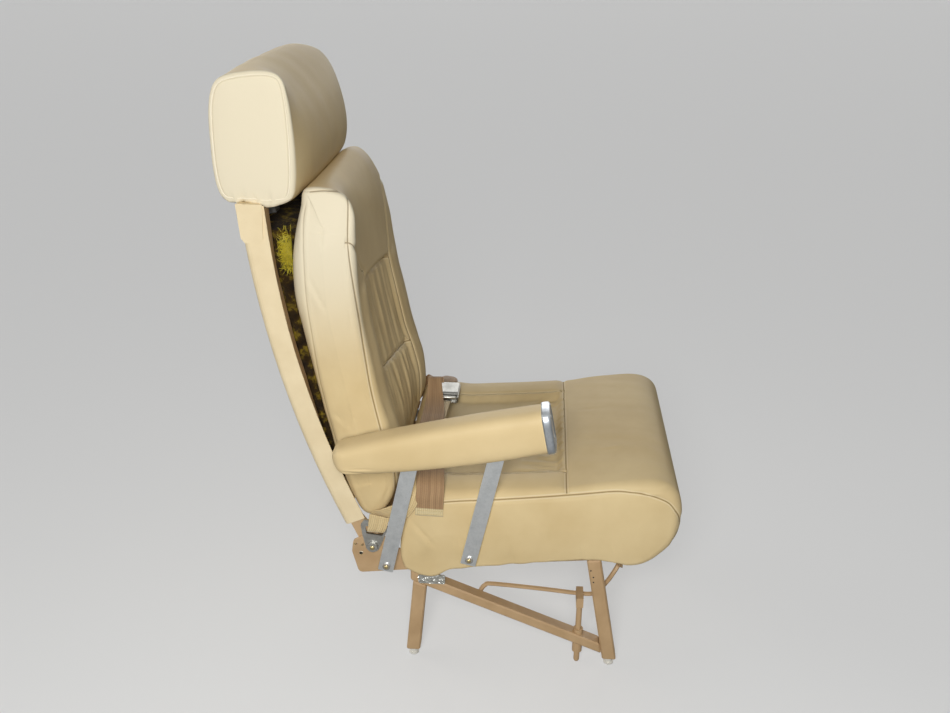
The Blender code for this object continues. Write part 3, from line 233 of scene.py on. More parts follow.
def leather(name, light="DBC597", dark="CFB788", painted_light_colour="E2D7BC", crease="846A42", roughness=0.50):
    """Pigmented cowhide: pebble grain, soft cloudy colour, fine stretch wrinkles, and seams with painted
    shade in their grooves and a painted highlight beside them.

    It is painted paler on the padded sides from 0.5 m up: painted light, where those sides show brightest
    under the key lamp.
    """
    material, tree = new_material(name)
    point = object_point(tree)
    clouds = add(tree, "TexNoise", {"Vector": point, "Scale": 7.0, **CLOUDY}, "Fac")
    base = add(tree, "ValToRGB", {"Fac": clouds}, stops=((0.34, dark), (0.66, light)))
    # Painted light: the padded sides are mixed towards a paler colour from 0.5 m up, where they are lit
    # brightest
    height = add(tree, "SeparateXYZ", {"Vector": point}, "Z")
    above = add(tree, "MapRange", {"Value": height, "From Min": 0.50, "From Max": 0.75},
                interpolation_type="SMOOTHSTEP")
    beside = add(tree, "Attribute", out="Fac", attribute_name="beside")
    painted_light_share = add(tree, "Math", {0: above, 1: beside}, operation="MULTIPLY")
    seam_height, seam_shade, rolled = turned_seams(tree)
    painted_highlight_share = add(tree, "Math", {0: rolled, 1: 0.7}, operation="MULTIPLY")
    # Painted shade from the piece's attribute: the recess along the seat insert's near edge
    recess_shade = add(tree, "Attribute", out="Fac", attribute_name="crease")
    painted_shade_share = add(tree, "Math", {0: recess_shade, 1: seam_shade}, operation="MAXIMUM")
    # Paler for painted light on the upper sides, pale for the seams' painted highlight, darker for painted
    # shade at seams and in the recess
    for share, colour in ((painted_light_share, painted_light_colour), (painted_highlight_share, "EFE2C2"), (painted_shade_share, crease)):
        base = add(tree, "Mix", {"Factor": share, "A": base, "B": linear(colour)}, "Result", data_type="RGBA")
    # Pebbles of 1.1 mm, drawn a little coarser than the real 0.7 mm so that they show
    pebbles = add(tree, "TexVoronoi", {"Vector": point, "Scale": 900.0, "Randomness": 0.9}, "Distance",
                  feature="SMOOTH_F1")
    pores = add(tree, "TexNoise", {"Vector": point, "Scale": 420.0, "Detail": 3.0, "Roughness": 0.55}, "Fac")
    skin = add(tree, "Math", {0: pebbles, 1: pores}, operation="ADD")
    # Fine stretch wrinkles, 8 to 15 mm apart
    wrinkles = add(tree, "TexNoise", {"Vector": object_point(tree, (1.0, 0.6, 0.6)), "Scale": 62.0,
                                      "Detail": 5.0, "Roughness": 0.6, "Distortion": 0.8}, "Fac")
    normal = add(tree, "Bump", {"Height": seam_height, "Strength": 0.7, "Distance": 0.0014})
    normal = add(tree, "Bump", {"Height": wrinkles, "Strength": 0.16, "Distance": 0.0015, "Normal": normal})
    normal = add(tree, "Bump", {"Height": skin, "Strength": 0.20, "Distance": 0.0004, "Normal": normal})
    gloss = add(tree, "MapRange", {"Value": clouds, "To Min": roughness - 0.05, "To Max": roughness + 0.07})
    surface(tree, {"Base Color": base, "Normal": normal, "Roughness": gloss, "IOR": 1.46,
                   "Specular IOR Level": 0.11})
    return material


def painted_steel(name, colour="BFA078", shade="B2936C", chip="6E5B45"):
    """Sprayed tan enamel on steel tube: slight orange peel, cloudy dust, and small chips to the primer."""
    material, tree = new_material(name)
    point = object_point(tree)
    clouds = add(tree, "TexNoise", {"Vector": point, "Scale": 22.0, "Detail": 5.0, "Roughness": 0.55}, "Fac")
    specks = add(tree, "TexNoise", {"Vector": point, "Scale": 260.0, "Detail": 6.0, "Roughness": 0.7}, "Fac")
    peel = add(tree, "TexNoise", {"Vector": point, "Scale": 700.0, "Detail": 2.0, "Roughness": 0.55}, "Fac")
    chips = add(tree, "ValToRGB", {"Fac": specks}, stops=((0.70, 0.0), (0.735, 1.0)))
    corners = add(tree, "ValToRGB", {"Fac": add(tree, "NewGeometry", out="Pointiness")},
                  stops=((0.53, 0.15), (0.58, 1.0)))
    chipped = add(tree, "Math", {0: chips, 1: corners}, operation="MULTIPLY")
    coat = add(tree, "ValToRGB", {"Fac": clouds}, stops=((0.35, shade), (0.65, colour)))
    base = add(tree, "Mix", {"Factor": chipped, "A": coat, "B": linear(chip)}, "Result", data_type="RGBA")
    normal = add(tree, "Bump", {"Height": peel, "Strength": 0.18, "Distance": 0.0003})
    gloss = add(tree, "MapRange", {"Value": clouds, "To Min": 0.40, "To Max": 0.54})
    surface(tree, {"Base Color": base, "Normal": normal, "Roughness": gloss})
    return material


NO_GRAIN = (1.0, 1.0, 1.0)       # for a metal whose brushing marks run along no axis


def brushed_metal(name, colour, roughness=0.34, along=(1.0, 1.0, 0.05), marks=0.5, stain="7D776A"):
    """Bare metal with brushing marks along one axis, cloudy oxide stains and uneven gloss."""
    material, tree = new_material(name)
    lines = add(tree, "TexNoise", {"Vector": object_point(tree, along), "Scale": 1500.0, **CLOUDY}, "Fac")
    clouds = add(tree, "TexNoise", {"Vector": object_point(tree), "Scale": 55.0, "Detail": 6.0,
                                    "Roughness": 0.65}, "Fac")
    stained = add(tree, "ValToRGB", {"Fac": clouds}, stops=((0.42, 0.0), (0.72, 0.75 * marks)))
    base = add(tree, "Mix", {"Factor": stained, "A": linear(colour), "B": linear(stain)}, "Result",
               data_type="RGBA")
    both = add(tree, "Math", {0: lines, 1: clouds}, operation="ADD")
    gloss = add(tree, "MapRange", {"Value": both, "From Min": 0.7, "From Max": 1.3,
                                   "To Min": roughness - 0.07, "To Max": roughness + 0.14})
    normal = add(tree, "Bump", {"Height": lines, "Strength": 0.22 * marks, "Distance": 0.0002})
    surface(tree, {"Base Color": base, "Metallic": 1.0, "Roughness": gloss, "Normal": normal})
    return material


def crinkled_foil(name):
    """Bright foil pressed on by hand: sharp facets 3 to 8 mm across and a few dull scuffs."""
    material, tree = new_material(name)
    point = object_point(tree)
    facets = add(tree, "TexVoronoi", {"Vector": point, "Scale": 190.0}, "Distance", feature="F1")
    ridges = add(tree, "TexNoise", {"Vector": point, "Scale": 330.0, "Detail": 3.0, "Roughness": 0.6,
                                    "Distortion": 1.5}, "Fac")
    base = add(tree, "ValToRGB", {"Fac": ridges}, stops=((0.3, "CFD0C8"), (0.6, "F4F4EE")))
    normal = add(tree, "Bump", {"Height": facets, "Strength": 0.9, "Distance": 0.0022})
    normal = add(tree, "Bump", {"Height": ridges, "Strength": 0.6, "Distance": 0.0008, "Normal": normal})
    gloss = add(tree, "MapRange", {"Value": ridges, "To Min": 0.08, "To Max": 0.30})
    surface(tree, {"Base Color": base, "Metallic": 1.0, "Normal": normal, "Roughness": gloss})
    return material


def woven_webbing(name, light="AE8D66", dark="8C6C4B"):
    """Nylon seat-belt webbing: 1.6 mm warp ribs read from the strap's own map, faded in stripes along it.

    Its sewn hem is paler where the attribute says so.
    """
    material, tree = new_material(name)
    place = add(tree, "UVMap", uv_map="strap")
    ribs = add(tree, "TexWave", {"Vector": place, "Scale": 98.0, "Distortion": 0.6, "Detail": 1.0},
               wave_type="BANDS", bands_direction="Y").node.outputs
    weft = add(tree, "TexWave", {"Vector": place, "Scale": 140.0, "Distortion": 0.4}, "Fac",
               wave_type="BANDS", bands_direction="DIAGONAL")
    streak = add(tree, "Mapping", {"Vector": place, "Scale": (6.0, 150.0, 1.0)})
    stripes = add(tree, "TexNoise", {"Vector": streak, "Scale": 1.0, "Detail": 3.0, "Roughness": 0.6,
                                     "Distortion": 0.4}, "Fac")
    base = add(tree, "ValToRGB", {"Fac": stripes}, stops=((0.28, dark), (0.66, light)))
    faded = add(tree, "Attribute", out="Fac", attribute_name="faded")
    base = add(tree, "Mix", {"Factor": faded, "A": base, "B": linear("D9C79A")}, "Result", data_type="RGBA")
    base = add(tree, "Mix", {"Factor": 0.20, "A": base, "B": ribs["Color"]}, "Result", data_type="RGBA",
               blend_type="MULTIPLY")
    weave = add(tree, "Math", {0: ribs["Fac"], 1: weft}, operation="ADD")
    normal = add(tree, "Bump", {"Height": weave, "Strength": 0.5, "Distance": 0.0004})
    surface(tree, {"Base Color": base, "Normal": normal, "Roughness": 0.78, "Sheen Weight": 0.25})
    return material


def fibre_batting(name, low, middle, high, sheen):
    """Loose glass-fibre batting: clumped fluff between three given colours, which are near black and brown
    where they paint the shade the batting lies in.
    """
    material, tree = new_material(name)
    point = object_point(tree)
    clumps = add(tree, "TexNoise", {"Vector": point, "Scale": 55.0, "Detail": 8.0, "Roughness": 0.7}, "Fac")
    hairs = add(tree, "TexNoise", {"Vector": point, "Scale": 600.0, "Detail": 6.0, "Roughness": 0.6,
                                   "Distortion": 2.0}, "Fac")
    base = add(tree, "ValToRGB", {"Fac": clumps}, stops=((0.34, low), (0.50, middle), (0.66, high)))
    normal = add(tree, "Bump", {"Height": hairs, "Strength": 0.9, "Distance": 0.002})
    surface(tree, {"Base Color": base, "Normal": normal, "Roughness": 1.0, "Specular IOR Level": 0.1,
                   "Sheen Weight": sheen})
    return material


def plain(name, colour, roughness, metallic=0.0):
    """Even finish with a slight cloudiness, for studs, thread, dark metal and bores."""
    material, tree = new_material(name)
    clouds = add(tree, "TexNoise", {"Vector": object_point(tree), "Scale": 120.0, **CLOUDY}, "Fac")
    shade = add(tree, "MapRange", {"Value": clouds, "To Min": 0.82, "To Max": 1.0})
    base = add(tree, "Mix", {"Factor": 1.0, "A": linear(colour), "B": shade}, "Result", data_type="RGBA",
               blend_type="MULTIPLY")
    gloss = add(tree, "MapRange", {"Value": clouds, "To Min": roughness - 0.06, "To Max": roughness + 0.06})
    surface(tree, {"Base Color": base, "Roughness": gloss, "Metallic": metallic})
    return material


LEATHER = leather("pigmented_cowhide")
ARM_LEATHER = leather("stretched_cowhide", light="DDC698", dark="D3BB8C", roughness=0.42)
# The welt is painted paler than the cover: painted highlight along the round cord
WELT_LEATHER = leather("turned_cowhide_welt", light="F1E8D2", dark="EADFC4", roughness=0.45)
PAINT = painted_steel("sprayed_tan_enamel")
SHELL_PAINT = painted_steel("sprayed_cream_enamel", colour="E8D6B0", shade="E1CEA7", chip="A08A66")
ALUMINIUM = brushed_metal("mill_finish_aluminium", "F0F3F5", 0.33, (1.0, 1.0, 0.04), 0.8, "BDC1C3")
ALUMINIUM_PLATE = brushed_metal("rolled_aluminium_sheet", "BCC1C3", 0.32, (1.0, 0.04, 1.0))
ALUMINIUM_CAP = brushed_metal("scratched_aluminium_casting", "C6CBD0", 0.36, (0.06, 1.0, 1.0), 0.8, "8B9096")
STEEL = brushed_metal("dull_zinc_plated_steel", "C2C2BE", 0.40, NO_GRAIN, 0.8)
STUD_STEEL = brushed_metal("nickel_plated_steel", "C6C4BC", 0.36, NO_GRAIN, 0.4)
CHROME = brushed_metal("worn_chromed_steel", "8F8E89", 0.30, (0.05, 1.0, 1.0), 0.6, "55534E")
YELLOW_ZINC = brushed_metal("yellow_zinc_plated_steel", "CDBB8A", marks=0.6, stain="93723F")
COPPER_ZINC = brushed_metal("tarnished_brass_washer", "A8764A", 0.42, marks=0.6, stain="6E4A30")
FOIL = crinkled_foil("crinkled_aluminium_foil")
WEBBING = woven_webbing("nylon_belt_webbing")
CREAM_WEBBING = woven_webbing("faded_nylon_webbing", light="DCC594", dark="CBB07E")
# Yellow batting painted near black and brown: painted shade of the hollow between cushion and shell
SHADE_DARK_BATTING = fibre_batting("shade_darkened_glass_fibre", "1E1408", "33240C", "8A7420", 0.05)
FLUFF = fibre_batting("loose_glass_fibre", "D6BE1E", "F0DD2C", "FFF060", 0.2)
CREAM_STUD = plain("cream_passivated_zinc", "E6E3D9", 0.42)
THREAD = plain("bonded_nylon_thread", "C9B27E", 0.55)
DARK = plain("black_oxide_steel", "33322F", 0.45, 0.6)
HOLE = plain("shadowed_bore", "1E1A16", 0.8)

FINISH_OF_SLOT = {"tan_paint": PAINT, "cream_leather": LEATHER, "bright_aluminium": ALUMINIUM,
                  "bare_steel": STEEL, "chromed_buckle": CHROME, "tan_webbing": WEBBING,
                  "yellow_batting": SHADE_DARK_BATTING, "dark_cylinder": DARK}
FINISH_OF_NODE = {"back_shell": SHELL_PAINT, "right_headrest_tab": SHELL_PAINT, "seat_pan": ALUMINIUM_PLATE,
                  "left_headrest_tab": SHELL_PAINT, "armrest_end_cap": ALUMINIUM_PLATE, "corner_plate": FOIL,
                  "right_plunger": PAINT, "left_plunger": PAINT}
FINISH_OF_NODE.update({entry["node"]: CREAM_STUD for entry in frame["record"]["subparts"]
                       if entry["node"].endswith("foot_stud")})


def finish_nodes():
    """Gives every node of the frame its own finish, or that of its slot."""
    for entry in frame["record"]["subparts"]:
        mesh = NODES[entry["node"]].data
        mesh.materials.clear()
        mesh.materials.append(FINISH_OF_NODE.get(entry["node"], FINISH_OF_SLOT[entry["material_slot"]]))


# Curves and grids
EVEN_OUT = np.hanning(9)[1:-1] / 4      # weights of a running mean over 7 points


def unit(vectors):
    """The vectors of the last axis at length 1."""
    return vectors / np.maximum(np.linalg.norm(vectors, axis=-1, keepdims=True), 1e-9)


def around(count):
    """Angles of one full turn in equal steps, without its end."""
    return np.linspace(0, 2 * np.pi, count, endpoint=False)


def smooth(points, closed, per_span=24):
    """Dense Catmull-Rom curve: each span is the cubic whose end slopes are half the neighbours' chords."""
    p = np.asarray(points, float)
    if closed:
        p = np.vstack([p[-1], p, p[:2]])
    else:
        p = np.vstack([2 * p[0] - p[1], p, 2 * p[-1] - p[-2]])
    t = (np.arange(per_span) / per_span)[None, :, None]
    a, b, c, d = (p[k:len(p) - 3 + k, None, :] for k in range(4))
    square, cube = 2 * a - 5 * b + 4 * c - d, 3 * b - a - 3 * c + d
    out = 0.5 * (2 * b + (c - a) * t + square * t ** 2 + cube * t ** 3)
    out = out.reshape(-1, p.shape[1])
    return out if closed else np.vstack([out, p[-2]])


def lengths(curve):
    """Distance along a polyline at each of its points."""
    return np.concatenate([[0.0], np.cumsum(np.linalg.norm(np.diff(curve, axis=0), axis=1))])


def crowd(start, end, step, near=(), fine=0.0010, reach=0.005):
    """Places from start to end about a step apart, and a fine step apart within reach of the near places.

    Their density is 1/step plus a bell of height 1/fine at each near place; its running sum is cut evenly.
    """
    t = np.linspace(start, end, 6000)
    density = np.full_like(t, 1.0 / step)
    for place in near:
        density += np.exp(-((t - place) / reach) ** 2) / fine
    total = np.concatenate([[0.0], np.cumsum((density[1:] + density[:-1]) / 2 * np.diff(t))])
    return np.interp(np.linspace(0, total[-1], int(total[-1]) + 2), total, t)


def along(curve, places):
    """Points of a dense polyline at the given distances along it."""
    s = lengths(curve)
    return np.stack([np.interp(places, s, curve[:, k]) for k in range(curve.shape[1])], axis=1)


def grid_faces(rows, columns, wrap_rows=False, wrap_columns=False):
    """Quads of a grid of points, whose last row or column may join the first."""
    i = np.arange(rows if wrap_rows else rows - 1)[:, None]
    j = np.arange(columns if wrap_columns else columns - 1)[None, :]
    i1, j1 = (i + 1) % rows, (j + 1) % columns
    corners = i * columns + j, i * columns + j1, i1 * columns + j1, i1 * columns + j
    return np.stack(np.broadcast_arrays(*corners), axis=-1).reshape(-1, 4)


def capped(rings, ends=None):
    """The rings between two more, drawn together in the given points or the middles of the end rings."""
    first, last = (rings[0].mean(axis=0), rings[-1].mean(axis=0)) if ends is None else ends
    shape = (1, *rings.shape[1:])
    return np.concatenate([np.broadcast_to(first, shape), rings, np.broadcast_to(last, shape)])


def make_piece(name, points, faces, material, body, slot, replaces=(), attributes=None, uv=None):
    """Closed smooth piece on its body, from the seat's own space: doubled points are welded."""
    mesh = bpy.data.meshes.new(name)
    mesh.from_pydata((np.asarray(points, float) + ORIGIN).tolist(), [], np.asarray(faces).tolist())
    mesh.materials.append(material)
    for key, values in (attributes or {}).items():
        values = np.asarray(values, np.float32)
        kind, field = ("FLOAT", "value") if values.size == len(mesh.vertices) else ("FLOAT_VECTOR", "vector")
        mesh.attributes.new(key, kind, "POINT").data.foreach_set(field, values.ravel())
    if uv is not None:
        layer = mesh.uv_layers.new(name="strap")
        corner = np.zeros(len(mesh.loops), np.int32)
        mesh.loops.foreach_get("vertex_index", corner)
        layer.data.foreach_set("uv", np.asarray(uv, np.float32)[corner].ravel())
    bm = bmesh.new()
    bm.from_mesh(mesh)
    bmesh.ops.remove_doubles(bm, verts=bm.verts, dist=1e-6)
    bmesh.ops.recalc_face_normals(bm, faces=bm.faces)
    bm.to_mesh(mesh)
    bm.free()
    mesh.shade_smooth()
    piece = bpy.data.objects.new(name, mesh)
    bpy.context.scene.collection.objects.link(piece)
    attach(piece, body)
    if replaces:
        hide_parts(*replaces)
    return piece


def ringed_piece(name, rings, *rest):
    """Piece whose surface runs over rows of points, each row a closed ring."""
    return make_piece(name, rings.reshape(-1, 3), grid_faces(*rings.shape[:2], wrap_columns=True), *rest)


def bell(distance, width):
    """Bell curve exp(-(distance / width)^2)."""
    return np.exp(-(distance / width) ** 2)


def step(value, low, high):
    """Smooth rise from 0 at low to 1 at high."""
    t = np.clip((value - low) / (high - low), 0, 1)
    return t * t * (3 - 2 * t)


def signed_gap(a, b, line):
    """Signed distance of (a, b) to a polyline: the nearest segment decides, and its left is positive."""
    best = np.full(np.shape(a), 1e9)
    for (a0, b0), (a1, b1) in zip(line[:-1], line[1:]):
        da, db = a1 - a0, b1 - b0
        t = np.clip(((a - a0) * da + (b - b0) * db) / (da * da + db * db), 0, 1)
        away = np.hypot(a - a0 - t * da, b - b0 - t * db)
        side = np.where(da * (b - b0) - db * (a - a0) < 0, -1.0, 1.0)
        best = np.where(away < np.abs(best), away * side, best)
    return best


def either(f, g):
    """One signed distance that is 0 on both lines, with slope 1 there: their product over their sum."""
    return f * g / (np.abs(f) + np.abs(g) + 1e-9)


def waves(x, seed, low, high, count=7):
    """Sum of sines of seeded wavelengths between low and high and seeded phases, within about -1 to 1."""
    rng = np.random.default_rng(seed)
    total = np.zeros(np.shape(x))
    for length, phase, share in zip(rng.uniform(low, high, count), rng.uniform(0, 6.28, count),
                                    rng.uniform(0.5, 1.0, count)):
        total += share * np.sin(2 * np.pi * x / length + phase)
    return total / np.sqrt(count)


def fold(a, b, start, end, depth, width, open_end=False):
    """Height of a fold of slack leather along a short line: a narrow valley with a soft ridge on its left.

    It fades as a half sine towards both ends, or from full depth at an open start.
    """
    start, end = np.array(start), np.array(end)
    run = (end - start) / np.linalg.norm(end - start)
    t = ((a - start[0]) * run[0] + (b - start[1]) * run[1]) / np.linalg.norm(end - start)
    away = run[0] * (b - start[1]) - run[1] * (a - start[0])
    inside = np.clip(t, 0, 1)
    fade = step(t, -0.04, 0.04) * np.cos(inside * np.pi / 2) ** 1.5 if open_end else np.sin(inside * np.pi)
    return depth * fade * (0.75 * bell(away - width * 1.2, width) - bell(away, width * 0.6))


EDGE_RINGS = 12       # round each rounded edge
SIDE_RINGS = 24       # over each padded side


class Form:
    """Padded form: a closed side outline carried across the seat, rounded at its edges, with padded sides.

    A point on the middle part is (v, outline(u)).  Round each edge of radius R(u) by an angle a it lies
    half - R + R sin a across, with the outline moved in by R (1 - cos a).  The sides carry on towards the
    nearest node of a spine line inside the outline and meet there.  A second outline, point for point like
    the first, may take over towards the centre plane, by the share 1 - |x / half|^4; a third one may be the
    outline at the far side.
    """

    def __init__(self, outline, half, edges, spine, pitch, near=(), near_v=(), middle=None, far=None):
        self.half = half
        dense = smooth(outline, True, 40)
        self.dense = np.vstack([dense, dense[:1]])
        places = lengths(self.dense)
        self.length = places[-1]
        u = crowd(0.0, self.length, pitch, [self.u_at(*p) for p in near])[:-1]
        marks = [self.u_at(y, z) for y, z, _ in edges]
        radius = np.interp(u, marks, [r for _, _, r in edges], period=self.length)
        loop = along(self.dense, u)
        before, after = (along(self.dense, (u + shift) % self.length) for shift in (-0.003, 0.003))
        ahead = unit(after - before)
        turn = np.sign(np.sum(loop[:, 0] * np.roll(loop[:, 1], -1) - np.roll(loop[:, 0], -1) * loop[:, 1]))
        outward = np.stack([ahead[:, 1], -ahead[:, 0]], 1) * turn
        shifts = []
        for line in (middle or outline, far or outline):
            other = smooth(line, True, 40)
            other = np.vstack([other, other[:1]])
            shifts.append(np.stack([np.interp(u, places, other[:, k]) for k in (0, 1)], axis=1) - loop)
        inner = loop - outward * radius[:, None]
        line = smooth(spine, False, 12)
        nearest = np.argmin(np.linalg.norm(inner[:, None] - line[None], axis=2), axis=1).astype(float)
        window = int(0.030 / pitch)
        kernel = np.hanning(2 * window + 1)
        padded = np.concatenate([nearest[-window:], nearest, nearest[:window]])
        self.node = np.round(np.convolve(padded, kernel / kernel.sum(), "valid")).astype(int)
        spokes = line[self.node] - inner
        reach = np.linalg.norm(spokes, axis=1)
        top = radius.max()
        flat = crowd(top / half - 1, 1 - top / half, pitch / half, [x / half for x in near_v], 0.0010 / half,
                     0.005 / half) / (1 - top / half)
        rings = [(half - radius + radius * np.sin(a), -outward * (radius * (1 - np.cos(a)))[:, None],
                  half - radius + radius * a, 0 * u) for a in np.linspace(0, np.pi / 2, EDGE_RINGS + 1)[1:]]
        rings += [(half + 0 * u, -outward * radius[:, None] + spokes * s,
                   half + radius * (np.pi / 2 - 1) + reach * s, reach * s)
                  for s in np.linspace(0, 1, SIDE_RINGS + 1)[1:]]
        rows = [(-x, move, -v, side) for x, move, v, side in rings[::-1]]
        rows += [((half - radius) * f, 0 * loop, (half - radius) * f, 0 * u) for f in flat]
        rows += rings
        x, move, self.V, self.side = (np.stack(part) for part in zip(*rows))
        self.U = np.broadcast_to(u, self.V.shape)
        self.R = np.broadcast_to(radius, self.V.shape)
        outer = np.clip(np.abs(x / half), 0, 1) ** 4
        fade = 1 - self.side / np.maximum(reach, 1e-6)
        yz = loop + move + ((1 - outer) * fade)[..., None] * shifts[0]
        yz += (outer * (x > 0) * fade)[..., None] * shifts[1]
        self.p = np.concatenate([x[..., None], yz], axis=-1)
        self.crease = np.zeros(self.V.shape)
        self.seams = {}

    @property
    def x(self):
        return self.p[..., 0]

    @property
    def y(self):
        return self.p[..., 1]

    @property
    def z(self):
        return self.p[..., 2]

    @property
    def beside(self):
        """1 on the two padded sides and the edges round to them, 0 on the middle part."""
        return step(np.abs(self.V), self.half - self.R - 0.003, self.half - self.R + 0.002)

    def u_at(self, y, z):
        """Distance along the outline at its point nearest to (y, z)."""
        return lengths(self.dense)[np.argmin(np.linalg.norm(self.dense - np.array((y, z)), axis=1))]

    def span(self, start, end, soft=0.012):
        """1 between two places (y, z) of the outline, taken in its own direction, with soft ends."""
        a, b = self.u_at(*start), self.u_at(*end)
        from_start = (self.U - a) % self.length
        width = (b - a) % self.length
        from_start = np.where(from_start > (self.length + width) / 2, from_start - self.length, from_start)
        return step(from_start, -soft, soft) * (1 - step(from_start, width - soft, width + soft))

    def normals(self):
        """Outward unit normals: the cross product of central differences along both directions."""
        du = np.roll(self.p, -1, axis=1) - np.roll(self.p, 1, axis=1)
        n = np.cross(np.gradient(self.p, axis=0), du)
        n[0], n[-1] = n[1], n[-2]
        n = unit(n)
        k = len(n) // 2
        return n if np.sum(n[k] * (self.p[k] - self.p[k].mean(axis=0))) > 0 else -n

    def push(self, height):
        """Moves the surface outwards by the height at each point."""
        self.p = self.p + self.normals() * height[..., None]

    def seam(self, kind, distance, share, depth=0.0020, width=0.0045):
        """Draws the cover in along distance 0; the leather's shader sews the line there."""
        share = np.broadcast_to(share, self.V.shape)
        self.push(-depth * share * bell(distance, width))
        self.seams[kind] = np.stack([distance, share, self.U + self.V], axis=-1)

    def side_edge(self, sign):
        """Points where the rounded edge meets the padded side on one side, one for each column."""
        return self.p[SIDE_RINGS if sign < 0 else -SIDE_RINGS - 1]

    def piece(self, name, material, body, slot, replaces):
        """The form as one closed mesh: both ends of its spokes meet in shared points."""
        for ring in (0, -1):
            count = np.maximum(np.bincount(self.node), 1)
            mean = np.stack([np.bincount(self.node, self.p[ring, :, k]) / count for k in range(3)], axis=-1)
            self.p[ring] = mean[self.node]
        attributes = {"crease": self.crease.reshape(-1), "beside": self.beside.reshape(-1)}
        attributes.update({kind: values.reshape(-1, 3) for kind, values in self.seams.items()})
        return ringed_piece(name, self.p, material, body, slot, replaces, attributes)


# Seat cushion
SEAT_SIDE = [(0.3607, 0.226), (0.356, 0.268), (0.3465, 0.303), (0.336, 0.330), (0.318, 0.3375),
             (0.277, 0.335), (0.228, 0.338), (0.163, 0.343), (0.086, 0.351), (0.036, 0.361),
             (0.004, 0.366), (-0.043, 0.371), (-0.072, 0.366), (-0.0915, 0.350), (-0.0995, 0.320),
             (-0.0985, 0.293), (-0.092, 0.265), (-0.072, 0.2395), (-0.050, 0.2215), (-0.018, 0.2135),
             (0.006, 0.2195), (0.050, 0.2225), (0.133, 0.2125), (0.2096, 0.202), (0.285, 0.1915),
             (0.345, 0.188), (0.3575, 0.199)]
SEAT_MIDDLE = [(0.3610, 0.226), (0.3645, 0.266), (0.3710, 0.298), (0.3630, 0.330), (0.336, 0.3410)]
SEAT_MIDDLE += SEAT_SIDE[5:]
SEAT_EDGES = [(0.3607, 0.226, 0.008), (0.3465, 0.303, 0.014), (0.318, 0.3375, 0.020),
              (-0.043, 0.371, 0.021), (-0.0985, 0.293, 0.020), (-0.050, 0.2215, 0.014),
              (0.006, 0.2195, 0.007), (0.285, 0.1915, 0.006)]
SEAT_SPINE = [(0.30, 0.262), (0.15, 0.275), (-0.03, 0.293)]
SEAT_HALF = 0.2295
INSERT_X = 0.160
CROSS_SEAM = (0.0895, 0.351)
BOXING_LINE = [(0.330, 0.3165), (0.260, 0.325), (0.204, 0.330), (0.0865, 0.3438), (0.015, 0.3548),
               (-0.017, 0.3546), (-0.041, 0.3521), (-0.072, 0.3408), (-0.088, 0.3231), (-0.0965, 0.3068),
               (-0.0965, 0.285), (-0.088, 0.262)]


# Place across and length of the pulls that run rearwards from the cross seam
PULLS = ((-0.148, 0.095), (-0.136, 0.070), (-0.122, 0.085), (-0.104, 0.055), (0.140, 0.070), (0.118, 0.050))


